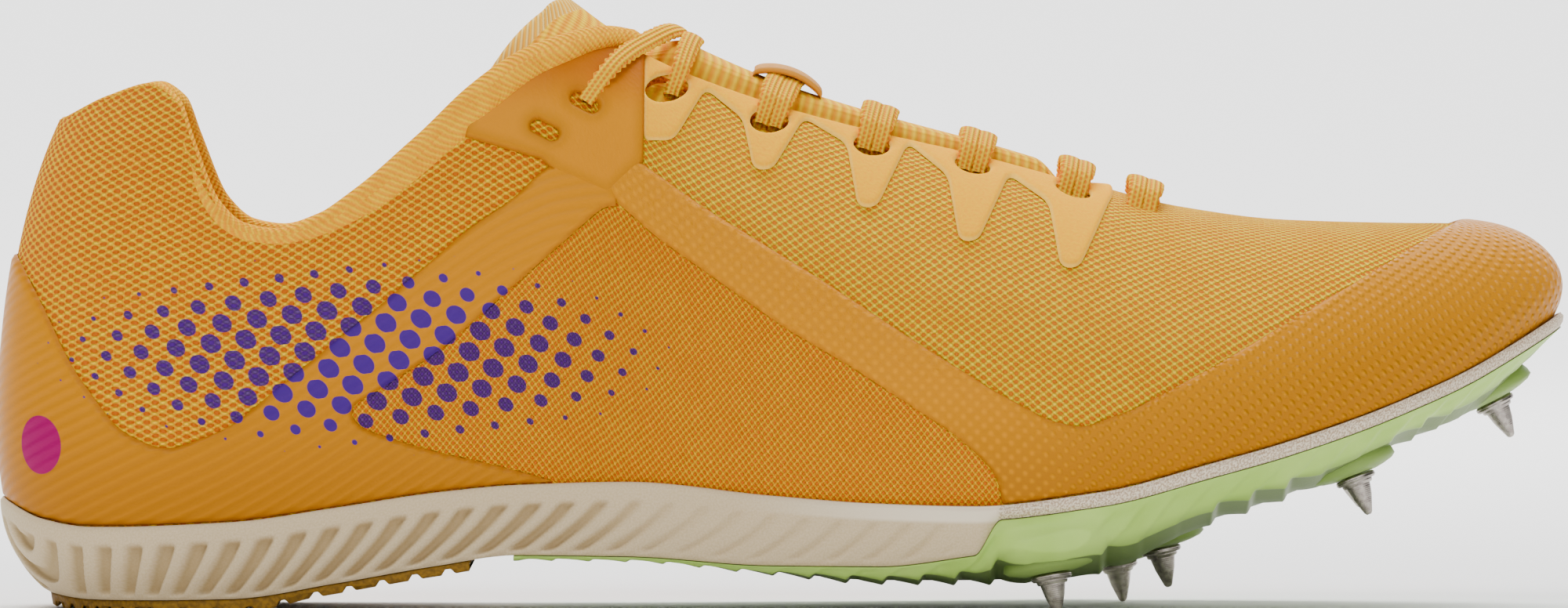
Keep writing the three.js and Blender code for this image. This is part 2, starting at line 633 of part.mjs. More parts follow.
function throatCutter(end) {
  const half = THROAT_WIDTH / 2;
  const start = ROLL_LENGTH - half;
  const round = end - half;
  const ridge = (x) => centreAt(x) + leanAt(x);
  const run = range(THROAT_STEPS + 1).map((i) => mix(start, round, i / THROAT_STEPS));
  const medial = run.map((x) => [x, ridge(x) + half]);
  const lateral = run.map((x) => [x, ridge(x) - half]).reverse();
  const front = range(5).map((i) => {
    const angle = HALF_TURN - (Math.PI * (i + 1)) / 6;
    return [round + half * Math.cos(angle), ridge(round) + half * Math.sin(angle)];
  });
  const outline = [...medial, ...front, ...lateral];
  const shape = new THREE.Shape(outline.map(([x, y]) => new THREE.Vector2(x, y)));
  const geometry = new THREE.ExtrudeGeometry(shape, { depth: INSTEP_HEIGHT, bevelEnabled: false });
  geometry.translate(0, 0, INSTEP_HEIGHT / 2);
  return solidOf(geometry);
}

const throatTurn = (t, drop = 0) => turnAtDistance(t, THROAT_WIDTH / 2 + drop);

function eyeletCutters() {
  const outline = ovalOutline(EYELET_WIDTH / 2, EYELET_LENGTH / 2, 6);
  return TABS.flatMap(({ eyelet }) =>
    [LATERAL, MEDIAL].map((side) => {
      const t = side * eyelet * LENGTH;
      return surfacePrism(t, throatTurn(t, EYELET_DROP), outline, 2 * WALL, 2 * FILM + 1);
    }),
  );
}

function frontSlotCutters() {
  const row = ROWS[ROWS.length - 1];
  const outline = ovalOutline(SLOT_LENGTH / 2 + 0.6, SLOT_WIDTH / 2 + 0.6, 8);
  return [LATERAL, MEDIAL].map((side) => {
    const t = side * row.hole * LENGTH;
    return surfacePrism(t, turnAtDistance(t, row.drop), outline, 2 * WALL, 2);
  });
}

const cutAll = (body, cutters) => cutters.reduce((rest, cutter) => rest.subtract(cutter), body);

function upper() {
  const shell = form(0, 0).subtract(form(-WALL, STACK / 2));
  const cutters = [collarCutter(), throatCutter(THROAT_END), collarRoll(GAP + 0.1)];
  return largest(cutAll(shell, [...cutters, ...eyeletCutters(), ...frontSlotCutters()]));
}

// Tongue: grid from its lateral to its medial edge, and from its top edge to its tip
const TONGUE_STEPS = 12;
const TONGUE_COLUMNS = 8;

function tongue() {
  const half = TONGUE_WIDTH / 2;
  const rows = range(TONGUE_STEPS + 1).map((i) => {
    const spots = range(TONGUE_COLUMNS + 1).map((j) => {
      const across = (2 * j) / TONGUE_COLUMNS - 1;
      const top = TONGUE_TOP - TONGUE_WRAP * Math.abs(across) ** 1.7;
      const f = mix(top, TONGUE_TIP, i / TONGUE_STEPS);
      const distance = Math.abs(across) * half;
      const t = (across < 0 ? LATERAL : MEDIAL) * f;
      const inCollar = 1 - smooth(f, ROLL_LENGTH, ROLL_LENGTH + 8);
      const underRoll = ROLL_THICKNESS * 0.57 - ROLL_PROUD + 1.5 * GAP;
      const under = mix(WALL + 3.5 * GAP, underRoll, inCollar);
      const crown = mix(GAP, TONGUE_DROP, inCollar);
      const middle = 1 - smooth(distance, THROAT_WIDTH * 0.25, THROAT_WIDTH * 0.45);
      const inThroat = 1 - smooth(f, THROAT_END - 0.6 * THROAT_WIDTH, THROAT_END - 0.2 * THROAT_WIDTH);
      const depth = mix(under, crown, middle * Math.max(inThroat, inCollar));
      return { t, turn: turnAtDistance(t, distance), depth };
    });
    return loopOf(
      spots.map(({ t, turn, depth }) => offsetPoint(t, turn, -depth)),
      spots.map(({ t, turn, depth }) => offsetPoint(t, turn, -depth - TONGUE_THICKNESS)),
    );
  });
  return loft(rows);
}

// Keeper: an arched strip on the tongue's crown
const KEEPER_CENTRE = 0.5;

function laceKeeper() {
  const middle = KEEPER_CENTRE * LENGTH;
  const rise = GAP * 5 + LACE_THICKNESS;
  const steps = 6;
  return loft(
    range(steps + 1).map((i) => {
      const share = i / steps;
      const f = middle + (share - 0.5) * KEEPER_LENGTH;
      const lift = rise * Math.sin(Math.PI * share) ** 0.6;
      const columns = range(5).map((j) => {
        const distance = ((j - 2) * KEEPER_WIDTH) / 4;
        const t = (distance < 0 ? LATERAL : MEDIAL) * f;
        return { t, turn: turnAtDistance(t, Math.abs(distance)) };
      });
      return loopOf(
        columns.map(({ t, turn }) => offsetPoint(t, turn, lift + KEEPER_THICKNESS)),
        columns.map(({ t, turn }) => offsetPoint(t, turn, lift)),
      );
    }),
  );
}

function insole() {
  const top = (x) => bedHeight(clamp(x, 0, LENGTH)) + INSOLE_THICKNESS;
  return form(-WALL - GAP, 0).intersect(region(0, LENGTH, () => 0, top));
}

// Overlays: cut out of a thin shell round the upper
const runOf = (from, to, count) => range(count + 1).map((i) => mix(from, to, i / count));

function heelCounter(shell) {
  const end = COUNTER_EDGE[COUNTER_EDGE.length - 1].at * LENGTH;
  const [first, ...rest] = outlineOf(COUNTER_EDGE);
  const top = [[LEFT_OF_HEEL, first[1]], first, ...rest];
  const band = sidePrism([[end, 0], ...[...top].reverse(), [LEFT_OF_HEEL, 0]]);
  const belowRim = region(LEFT_OF_HEEL, end + 1, () => -1, aboveRim);
  return cutAll(shell.intersect(band), [belowRim, sidePrism(outlineOf(QUARTER))]);
}

function toeGuard(shell) {
  const start = GUARD_TOP[0].at * LENGTH;
  const [last] = outlineOf(GUARD_TOP).slice(-1);
  const band = sidePrism([
    ...outlineOf(GUARD_FOOT).reverse(),
    ...outlineOf(GUARD_TOP),
    [RIGHT_OF_TOE, last[1]],
    [RIGHT_OF_TOE, 0],
    [GUARD_FOOT[GUARD_FOOT.length - 1].at * LENGTH, 0],
  ]);
  const belowRim = region(start, RIGHT_OF_TOE, () => -1, aboveRim);
  return shell.intersect(band).subtract(belowRim);
}

const onSide = (body, side) => body.trimByPlane([0, side, 0], 0);

function lacingWing(shell, side, trims) {
  const [first] = outlineOf(WING_FOOT);
  const [last] = outlineOf(WING_FOOT).slice(-1);
  const flap = sidePrism([...outlineOf(WING_FOOT), [last[0], SKY], [first[0], SKY]]);
  const outline = ovalOutline(SLOT_LENGTH / 2, SLOT_WIDTH / 2, 8);
  const slots = [WING_SLOT, SPARE_SLOT].map(({ at, height }) => {
    const t = side * at * LENGTH;
    return surfacePrism(t, turnAtHeight(t, () => height * INSTEP_HEIGHT), outline, WALL, 2);
  });
  const cutters = [...trims, throatCutter(THROAT_END), ...slots];
  return largest(cutAll(onSide(shell.intersect(flap), side), cutters));
}

function eyestay(shell, side) {
  const rows = TABS.flatMap(({ left, tip, strip }) => [
    { at: left, height: strip },
    { at: left + TAB_SLOPE, height: tip },
    { at: left + TAB_FOOT, height: tip },
    { at: left + TAB_RUN, height: strip },
  ]);
  rows[0].height = TABS[0].tip;
  rows.push({ at: EYESTAY_END, height: EYESTAY_FRONT });
  const [first] = outlineOf(rows);
  const [last] = outlineOf(rows).slice(-1);
  const band = sidePrism([...outlineOf(rows), [last[0], SKY], [first[0], SKY]]);
  const cutters = [throatCutter(EYESTAY_END * LENGTH + THROAT_WIDTH), ...eyeletCutters()];
  return largest(cutAll(onSide(shell.intersect(band), side), cutters));
}

// Laces: two strands side by side at the crest, which part towards the eyelet on each side
const LACE_STEPS = 5;

function strand(endStation, turnAt, crestStation, sink) {
  const spots = range(2 * LACE_STEPS + 1).map((i) => {
    const share = i / LACE_STEPS - 1;
    const side = share < 0 ? LATERAL : MEDIAL;
    const away = Math.abs(share);
    const f = mix(crestStation, endStation, away ** 1.3);
    const turn = mix(HALF_TURN, turnAt(side * endStation), away);
    const crest = GAP + LACE_THICKNESS / 2;
    const overFilm = FILM_OUTER + 1.5 * GAP + LACE_THICKNESS / 2;
    const lift = mix(crest, overFilm, smooth(away, 0.15, 0.5)) - sink * smooth(away, 0.72, 1);
    const { point, normal } = lastFrame(side * f, turn);
    return { centre: point.addScaledVector(normal, lift), normal };
  });
  return loft(
    spots.map(({ centre, normal }, i) => {
      const ahead = spots[Math.min(i + 1, spots.length - 1)].centre;
      const behind = spots[Math.max(i - 1, 0)].centre;
      const direction = ahead.clone().sub(behind).normalize();
      const across = direction.clone().cross(normal).normalize();
      const through = across.clone().cross(direction).normalize();
      const away = Math.abs(i / LACE_STEPS - 1);
      const width = mix(LACE_WIDTH, LACE_WIDTH * 0.78, smooth(away, 0.5, 1));
      return section(centre, across, through, width / 2, LACE_THICKNESS / 2, FLAT_SECTION);
    }),
  );
}

function laceRow(row, index) {
  const hole = row.hole * LENGTH;
  const crest = row.crest * LENGTH;
  const half = LACE_PITCH / 2;
  const inEyelet = index < TABS.length;
  const turnAt = (t) => (inEyelet ? throatTurn(t, row.drop) : turnAtDistance(t, row.drop));
  const sink = FILM_OUTER + GAP;
  const right = strand(hole + half, turnAt, crest + half, sink);
  if (index > 0) return strand(hole - half, turnAt, crest - half, sink).add(right);
  const slotTurn = (t) => turnAtHeight(t, () => WING_SLOT.height * INSTEP_HEIGHT);
  return strand(WING_SLOT.at * LENGTH, slotTurn, crest - half, 0).add(right);
}

// Sole pieces: a point at an inset from the outline, at the height that the sole has there
function solePoint(t, inset, heightAt) {
  const { foot, spine } = footAndSpine(t);
  const inward = spine.clone().sub(foot);
  const point = foot.clone().addScaledVector(inward, Math.min(0.98, inset / inward.length()));
  return point.setZ(heightAt(point.x));
}

// How far the foam's side draws in, from the rim at 0 to its lower edge at 1
const sideInset = (f, depth) => flareAt(f) * depth ** 2.2;

// Stations of the plate's teeth, and of the step where the foam wrap ends
const plateArc = arcAtStation(PLATE_START);
const toothCount = Math.floor((arcs[ARC_STEPS] - plateArc) / TOOTH_PITCH);
const wrapSteps = [-3, -1, 1, 4].map((step) => WRAP_END + step);
const offStep = (f) => f < wrapSteps[0] - 1 || f > wrapSteps[3] + 1;
const teeth = range(toothCount)
  .map((k) => {
    const arc = plateArc + k * TOOTH_PITCH;
    return { start: stationAtArc(arc), notch: stationAtArc(arc + NOTCH_SHARE * TOOTH_PITCH) };
  })
  .filter(({ start, notch }) => offStep(start) && offStep(notch));

const FLUTE_SLANT = 0.5; // how far back a flute runs for each unit down, at the waist
const SLANT_FADE = 25; // length over which the slant fades out again
const LEAF_DEPTH = 0.8;
const CROWN_SHARE = 0.47; // inset of the plate's flat middle, share of the half width

function midsoleSide(t, flute) {
  const { f, side } = station(t);
  const whole = rimHeight(f) - foamHeight(f);
  const top = Math.min(FLUTE_TOP / whole, 0.4);
  const fade = 1 - smooth(f, FLUTE_END, FLUTE_END + SLANT_FADE);
  const slant = FLUTE_SLANT * smooth(f, HEEL_ROUND, FLUTE_END) * fade;
  const place = (depth, extra) => {
    const back = Math.max(0, f - slant * depth * whole) * side;
    const inset = sideInset(f, depth) + extra;
    return solePoint(back, inset, (x) => mix(rimHeight(x), foamHeight(x), depth));
  };
  const inPlate = f >= PLATE_START - 1;
  const edgeInset = inPlate ? flareAt(f) + 2 * GAP + PLATE_RIM : flareAt(f) + PLATE_RIM;
  const floor = (x) => (inPlate ? Math.min(foamHeight(x), plateFloor(x) + GAP) : foamHeight(x));
  return [
    place(0, 0.3),
    place(top, 0),
    place(top + FLUTE_STEP / whole, flute),
    place(1 - Math.min(0.3, FLUTE_FOOT / whole), flute),
    place(1, 0.2),
    solePoint(t, edgeInset, foamHeight),
    solePoint(t, crownInset(t), floor),
  ];
}

function midsole(pockets) {
  const first = 0.5 * FLUTE_PITCH;
  const flutes = Math.floor((arcAtStation(FLUTE_END) - first) / FLUTE_PITCH);
  const rings = [{ f: 0, flute: 0 }];
  for (const k of range(flutes)) {
    const arc = first + k * FLUTE_PITCH;
    const depth = FLUTE_DEPTH * (1 - 0.6 * smooth(k, flutes * 0.7, flutes));
    rings.push({ f: stationAtArc(arc), flute: depth });
    rings.push({ f: stationAtArc(arc + FLUTE_PITCH / 2), flute: 0 });
  }
  const plain = teeth.map(({ start }) => start).filter((f) => f > FLUTE_END + 3);
  const smoothPart = [...plain, ...wrapSteps, LENGTH].sort((a, b) => a - b);
  for (const f of smoothPart) rings.push({ f, flute: 0 });
  const block = loft(rings.map(({ f, flute }) => loopOf(midsoleSide(-f, flute), midsoleSide(f, flute))));
  return cutAll(block, [form(GAP, GAP), ...pockets]);
}

// Spike plate: a dish with a toothed lower edge
const plateTop = (f) => foamHeight(f) - GAP;
const plateDepth = (f) => plateTop(f) - treadHeight(f);
const plateRise = (f) => Math.min(plateDepth(f) / 3, PLATE_CROWN);
const toothBite = (f) => Math.min(TOOTH_DEPTH, plateDepth(f) * 0.2);
const plateFloor = (f) => Math.min(plateTop(f), treadHeight(f) + PLATE_THICKNESS);
const plateLowInset = (f) =>
  flareAt(f) + 0.2 + PLATE_FLARE * mix(0.25, 1, smooth(f, PLATE_START, WRAP_END + 20));

// Inset of the line where the plate's flat middle starts to rise to its edge
function crownInset(t) {
  const { foot, spine } = footAndSpine(t);
  return CROWN_SHARE * foot.distanceTo(spine);
}

// Underside of the plate at a distance from the centre line
function plateBottom(f, distance) {
  const edgeAway = halfWidth(f) - plateLowInset(f);
  const flatAway = (1 - CROWN_SHARE) * halfWidth(f);
  return treadHeight(f) + plateRise(f) * clamp((distance - flatAway) / (edgeAway - flatAway), 0, 1);
}

function plateSide(t, tooth) {
  const { f } = station(t);
  const edgeInset = flareAt(f) + 0.2;
  const lowInset = plateLowInset(f);
  const groove = tooth ? LEAF_DEPTH : 0;
  const low = (x) => treadHeight(x) + plateRise(x) + (tooth ? toothBite(x) : 0);
  return [
    solePoint(t, crownInset(t), treadHeight),
    solePoint(t, lowInset + groove, low),
    solePoint(t, mix(edgeInset, lowInset, 0.3) + groove, (x) => mix(treadHeight(x), plateTop(x), 0.6)),
    solePoint(t, edgeInset, plateTop),
    solePoint(t, edgeInset + PLATE_RIM, plateTop),
    solePoint(t, crownInset(t), plateFloor),
  ];
}

function spikePlate(bosses) {
  const rings = wrapSteps.map((f) => ({ f, tooth: false }));
  for (const { start, notch } of teeth) {
    rings.push({ f: start, tooth: false });
    if (start > PLATE_START + 1) rings.push({ f: notch, tooth: true });
  }
  rings.push({ f: LENGTH, tooth: false });
  rings.sort((a, b) => a.f - b.f);
  const dish = loft(rings.map(({ f, tooth }) => loopOf(plateSide(-f, tooth), plateSide(f, tooth))));
  return bosses.reduce((body, boss) => body.add(boss), dish);
}

// Heel rubber with bars across
function heelOutsole() {
  const bars = Math.floor((RUBBER_END - RUBBER_START) / BAR_PITCH);
  const rings = [];
  for (const k of range(bars)) {
    const start = RUBBER_START + k * BAR_PITCH;
    for (const [share, groove] of [[0, true], [0.14, true], [0.22, false], [0.92, false]]) {
      rings.push({ f: start + share * BAR_PITCH, groove });
    }
  }
  rings.push({ f: RUBBER_END, groove: true });
  const side = (t, groove) => {
    const { f } = station(t);
    const top = (x) => foamHeight(x) - GAP;
    const lift = groove ? BAR_DEPTH : 0;
    const bottom = (x) => Math.max(0, Math.min(treadHeight(x), top(x) - RUBBER_THICKNESS)) + lift;
    const inset = flareAt(f) + 0.6;
    return [solePoint(t, inset, top), solePoint(t, inset + 0.5, bottom)];
  };
  return loft(rings.map(({ f, groove }) => loopOf(side(-f, groove), side(f, groove))));
}

// Spikes and their bosses: a frame at the face that the flange seats on, axis pointing down
function spikeFrame({ at, across, lean, splay, stands }) {
  const f = at * LENGTH;
  const y = centreAt(f) + across * halfWidth(f);
  const tilt = THREE.MathUtils.degToRad(lean);
  const roll = THREE.MathUtils.degToRad(splay) * Math.sign(across);
  const drop = -Math.cos(tilt) * Math.cos(roll);
  const axis = new THREE.Vector3(Math.sin(tilt), Math.sin(roll), drop).normalize();
  const underside = plateBottom(f, Math.abs(across) * halfWidth(f));
  const tipEdge = TIP_RADIUS * Math.sqrt(1 - axis.z * axis.z);
  const base = stands ? -axis.z * SPIKE_LENGTH + tipEdge : underside - BOSS_STAND;
  const root = Math.max(0, underside - base) + PLATE_THICKNESS;
  return { centre: new THREE.Vector3(f, y, base), axis, root };
}

const PIN_CORNERS = 8;

function lathe(profile, segments, { centre, axis }) {
  const geometry = new THREE.LatheGeometry(profile.map(([r, h]) => new THREE.Vector2(r, h)), segments);
  const turn = new THREE.Quaternion().setFromUnitVectors(new THREE.Vector3(0, 1, 0), axis);
  geometry.applyQuaternion(turn);
  geometry.translate(centre.x, centre.y, centre.z);
  return solidOf(geometry);
}

function boss(place, extra = 0) {
  const root = place.root + extra;
  const radius = BOSS_RADIUS + extra;
  return lathe([[0, -root], [radius, -root], [radius, -GAP], [0, -GAP]], PIN_CORNERS, place);
}

function spike(place) {
  const profile = [
    [0, 0],
    [FLANGE_RADIUS, 0],
    [FLANGE_RADIUS, FLANGE_THICKNESS],
    [SPIKE_RADIUS, FLANGE_THICKNESS],
    [TIP_RADIUS, SPIKE_LENGTH],
    [0, SPIKE_LENGTH],
  ];
  return lathe(profile, PIN_CORNERS, place);
}

// Materials
const finish = (color, roughness, metalness = 0) =>
  new THREE.MeshStandardMaterial({ color, roughness, metalness });
const MESH_YELLOW = finish(0xf5b63c, 0.85);
const KNIT_YELLOW = finish(0xeeb928, 0.9);
const TONGUE_YELLOW = finish(0xffc83c, 0.85);
const FILM_ORANGE = finish(0xf5a514, 0.4);
const PEACH = finish(0xfdc36e, 0.8);
const FOAM_CREAM = finish(0xc8b9a0, 0.7);
const PLATE_GREEN = finish(0x98bd6c, 0.35);
const RUBBER_OLIVE = finish(0x6e5500, 0.75);
const STEEL = finish(0xa09691, 0.35, 0.9);
const INSOLE_ORANGE = finish(0xd98a1a, 0.9);

const FINEST = 0.08; // detail smaller than this is left out

function meshOf(name, solid, material) {
  const { vertProperties, triVerts } = solid.asOriginal().simplify(FINEST).getMesh();
  const geometry = new THREE.BufferGeometry();
  geometry.setAttribute("position", new THREE.BufferAttribute(vertProperties, 3));
  geometry.setIndex(new THREE.BufferAttribute(triVerts, 1));
  geometry.computeVertexNormals();
  const mesh = new THREE.Mesh(geometry, material);
  mesh.name = name;
  return mesh;
}

const shoe = new THREE.Group();
const collarTrims = [collarCutter(), collarRoll(GAP + 0.1)];
const films = filmShell();
const places = SPIKES.map(spikeFrame);

shoe.add(meshOf("upper", upper(), MESH_YELLOW));
shoe.add(meshOf("collar_lining", collarRoll(0), KNIT_YELLOW));
shoe.add(meshOf("tongue", tongue(), TONGUE_YELLOW));
shoe.add(meshOf("lace_keeper", laceKeeper(), FILM_ORANGE));
shoe.add(meshOf("insole", insole(), INSOLE_ORANGE));
shoe.add(meshOf("heel_counter", heelCounter(films), FILM_ORANGE));
shoe.add(meshOf("toe_guard", toeGuard(films), FILM_ORANGE));
for (const [side, word] of [[LATERAL, "lateral"], [MEDIAL, "medial"]]) {
  shoe.add(meshOf(`lacing_wing_${word}`, lacingWing(films, side, collarTrims), FILM_ORANGE));
  shoe.add(meshOf(`eyestay_${word}`, eyestay(films, side), PEACH));
}
ROWS.forEach((row, i) => shoe.add(meshOf(`lace_row_${i + 1}`, laceRow(row, i), PEACH)));
shoe.add(meshOf("midsole", midsole(places.map((place) => boss(place, GAP))), FOAM_CREAM));
shoe.add(meshOf("spike_plate", spikePlate(places.map((place) => boss(place))), PLATE_GREEN));
shoe.add(meshOf("heel_outsole", heelOutsole(), RUBBER_OLIVE));
places.forEach((place, i) => shoe.add(meshOf(`spike_${i + 1}`, spike(place), STEEL)));

// The origin is under the middle of the shoe's box, on the floor
const box = new THREE.Box3().setFromObject(shoe);
const middle = box.getCenter(new THREE.Vector3());
shoe.position.set(-middle.x, -middle.y, -box.min.z);

const part = new THREE.Group();
part.add(shoe);
part.updateMatrixWorld(true);

export default part;
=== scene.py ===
import math

import bmesh
import bpy
import numpy as np
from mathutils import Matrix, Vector


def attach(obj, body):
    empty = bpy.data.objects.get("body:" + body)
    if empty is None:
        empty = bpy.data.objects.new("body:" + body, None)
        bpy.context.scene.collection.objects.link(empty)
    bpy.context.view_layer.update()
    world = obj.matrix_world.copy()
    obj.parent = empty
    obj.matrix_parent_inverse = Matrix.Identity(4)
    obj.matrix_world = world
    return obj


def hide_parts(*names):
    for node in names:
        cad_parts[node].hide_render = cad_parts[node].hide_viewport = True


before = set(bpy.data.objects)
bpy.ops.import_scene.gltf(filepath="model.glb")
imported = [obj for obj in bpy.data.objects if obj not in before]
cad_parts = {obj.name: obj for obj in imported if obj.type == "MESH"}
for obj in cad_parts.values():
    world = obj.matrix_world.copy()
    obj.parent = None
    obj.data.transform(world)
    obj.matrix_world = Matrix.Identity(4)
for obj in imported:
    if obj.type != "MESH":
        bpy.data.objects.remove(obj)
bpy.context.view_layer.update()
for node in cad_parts.values():
    node.select_set(False)

# Upper: one open mesh textile over an orange lining, knitted in zones and pulled over a last.
# The last's tables give its outline, ridge and section at shares of the length; the mesh is
# bonded to the sole round its foot and is open at the collar and the throat.
LENGTH = 0.2854
BALL_WIDTH = 0.089
HEEL_WIDTH = 0.063
INSTEP_HEIGHT = 0.1042
STACK = 0.024
TOE_SPRING = 0.048
HEEL_ROUND = 0.034
TOE_ROUND = 0.080
HEEL_SPINE = 0.038
TOE_SPINE = 0.024
TUCK_DEPTH = 0.0032
TUCK_HEIGHT = 0.026
LAST_MIDDLE = (0.14232, -0.00021)  # middle of the shoe's box, from the heel back
MILLIMETRES = 1000  # in a metre; maps and edge distances are in millimetres
TINY_STEP = 5e-5  # along the shoe, to find a slope
TINY_TURN = 0.004  # round a section, to find a slope
HALVINGS = 32
WELD = 1e-6
OUTLINE_SAMPLES = 4000
SECTION_SAMPLES = 800

LAST = {
    "at": [0, 0.16, 0.263, 0.315, 0.35, 0.37, 0.392, 0.42, 0.45, 0.5, 0.56, 0.63, 0.7, 0.753,
           0.823, 0.893, 0.946, 1],
    "centre": [0, -0.006, -0.019, -0.028, -0.034, -0.037, -0.04, -0.042, -0.045, -0.046, -0.04,
               -0.024, -0.003, 0.011, 0.038, 0.071, 0.099, 0.124],
    "ball": [0, 0, -0.02, -0.01, 0.03, 0.06, 0.1, 0.17, 0.26, 0.44, 0.63, 0.89, 1, 1, 0.9, 0.74,
             0.58, 0.42],
    "ridge": [1.104, 1.123, 1.142, 1.147, 1.128, 1.097, 1.053, 1, 0.957, 0.9, 0.848, 0.796, 0.739,
              0.702, 0.678, 0.673, 0.672, 0.672],
    "lean": [0, 0, 0, 0.002, 0.006, 0.01, 0.013, 0.017, 0.024, 0.034, 0.045, 0.054, 0.062, 0.06,
             0.052, 0.034, 0.015, 0],
    "up": [3, 3, 3, 3, 3, 2.95, 2.9, 2.8, 2.65, 2.5, 2.35, 2.27, 2.25, 2.27, 2.32, 2.45, 2.6, 2.6],
    "out": [1.6, 1.6, 1.6, 1.6, 1.6, 1.63, 1.67, 1.75, 1.84, 1.95, 2.06, 2.15, 2.2, 2.2, 2.25, 2.4,
            2.6, 2.6],
    "tuck": [1, 0.9, 0.75, 0.7, 0.66, 0.64, 0.62, 0.6, 0.58, 0.57, 0.56, 0.55, 0.54, 0.53, 0.5,
             0.46, 0.43, 0.4],
}
SOLE = {
    "at": [0, 0.03, 0.06, 0.15, 0.217, 0.28, 0.333, 0.403, 0.49, 0.56, 0.62, 0.7, 0.753, 0.823,
           0.893, 0.946, 1],
    "spring": [0, 0, 0, 0, 0, 0, 0, 0, 0, 0, 0, 0.04, 0.18, 0.32, 0.52, 0.68, 0.97],
    "bed": [0.5, 0.5, 0.5, 0.52, 0.59, 0.7, 0.78, 0.82, 0.74, 0.69, 0.73, 0.76, 0.65, 0.6, 0.49,
            0.45, 0.25],
    "rim": [0.86, 0.7, 0.65, 0.69, 0.8, 0.915, 0.975, 1, 0.905, 0.846, 0.829, 0.854, 0.729, 0.679,
            0.567, 0.525, 0.308],
    "foam": [0.16, 0.13, 0.095, 0.11, 0.23, 0.362, 0.446, 0.44, 0.379, 0.375, 0.46, 0.6, 0.6, 0.57,
             0.46, 0.42, 0.2],
    "tread": [0.09, 0.03, 0, 0, 0.16, 0.3, 0.385, 0.375, 0.28, 0.208, 0.204, 0.204, 0.217, 0.213,
              0.2, 0.183, 0.15],
    "flare": [1, 0.85, 0.68, 0.45, 0.35, 0.3, 0.27, 0.25, 0.25, 0.27, 0.27, 0.06, 0.04, 0.03, 0.03,
              0.03, 0.03],
}


def smooth(value, low, high):
    share = np.clip((value - low) / (high - low), 0, 1)
    return share * share * (3 - 2 * share)


def mix(a, b, share):
    return a + (b - a) * share


def curve(rows, column, unit=1.0):
    """Smooth line through one column of a table, which never overshoots its rows."""
    xs = np.array(rows["at"], float)
    ys = np.array(rows[column], float) * unit
    steps = np.diff(ys) / np.diff(xs)
    slopes = np.concatenate([steps[:1], np.zeros(len(xs) - 2), steps[-1:]])
    both = steps[:-1] * steps[1:]
    keep = both > 0
    slopes[1:-1][keep] = 2 * both[keep] / (steps[:-1] + steps[1:])[keep]

    def value(x):
        share = np.clip(np.asarray(x, float) / LENGTH, xs[0], xs[-1])
        i = np.clip(np.searchsorted(xs, share, side="right") - 1, 0, len(xs) - 2)
        width = xs[i + 1] - xs[i]
        t = (share - xs[i]) / width
        rise = (ys[i + 1] - ys[i]) * (3 - 2 * t) * t * t
        start = t * (1 - t) ** 2 * width * slopes[i]
        return ys[i] + rise + start - t * t * (1 - t) * width * slopes[i + 1]

    return value


centre_at = curve(LAST, "centre", BALL_WIDTH)
lean_at = curve(LAST, "lean", BALL_WIDTH)
ridge_at = curve(LAST, "ridge", INSTEP_HEIGHT)
ball_at = curve(LAST, "ball")
up_at = curve(LAST, "up")
out_at = curve(LAST, "out")
tuck_at = curve(LAST, "tuck", TUCK_HEIGHT)
spring_at = curve(SOLE, "spring", TOE_SPRING)


def sole_line(column):
    share = curve(SOLE, column, STACK)
    return lambda x: spring_at(x) + share(x)


bed_at = sole_line("bed")
rim_at = sole_line("rim")


def half_width(f):
    full = mix(HEEL_WIDTH, BALL_WIDTH, ball_at(f)) / 2
    heel = np.clip(1 - f / HEEL_ROUND, 0, 1)
    toe = np.clip(1 - (LENGTH - f) / TOE_ROUND, 0, 1)
    return full * np.sqrt(1 - heel * heel) * np.sqrt(1 - toe * toe)


def foot_and_spine(t):
    """Outline point of a station and the point of the centre line that it looks to."""
    side = np.where(t < 0, -1.0, 1.0)
    f = np.abs(t)
    side = np.where(f > LENGTH, -side, side)
    f = np.where(f > LENGTH, 2 * LENGTH - f, f)
    side = np.where(f < 0, -side, side)
    f = np.abs(f)
    heel = np.clip(1 - f / (2 * HEEL_SPINE), 0, 1)
    toe = np.clip(1 - (LENGTH - f) / (2 * TOE_SPINE), 0, 1)
    a = f + HEEL_SPINE * heel**2 - TOE_SPINE * toe**2
    foot = np.stack([f, centre_at(f) + side * half_width(f)], -1)
    spine = np.stack([a, centre_at(a) + lean_at(a)], -1)
    return f, side, foot, spine


def last_point(t, turn):
    """Point of the last: turn 0 is the seat on the sole, a quarter turn is the ridge."""
    t, turn = np.broadcast_arrays(np.asarray(t, float), np.asarray(turn, float))
    over = turn > math.pi / 2
    t = np.where(over, -t, t)
    turn = np.clip(np.where(over, math.pi - turn, turn), 0, math.pi / 2)
    f, _, foot, spine = foot_and_spine(t)
    bed = bed_at(f)
    rise = (ridge_at(f) - bed) * np.sin(turn) ** (2 / up_at(f))
    reach = np.clip(np.cos(turn), 0, 1) ** (2 / out_at(f))
    tuck = np.clip(1 - rise / tuck_at(f), 0, 1)
    outward = foot - spine
    length = np.linalg.norm(outward, axis=-1)
    flat = spine + outward * (reach - TUCK_DEPTH * tuck**2 / length)[..., None]
    return np.concatenate([flat, (bed + rise)[..., None]], -1)


def unit_vectors(vectors):
    return vectors / np.maximum(np.linalg.norm(vectors, axis=-1, keepdims=True), 1e-12)


def last_normal(t, turn):
    along = last_point(t + TINY_STEP, turn) - last_point(t - TINY_STEP, turn)
    up = last_point(t, turn + TINY_TURN) - last_point(t, np.maximum(turn - TINY_TURN, 0))
    return unit_vectors(np.cross(up, along))


def offset_point(t, turn, offset):
    return last_point(t, turn) + last_normal(t, turn) * np.asarray(offset)[..., None]


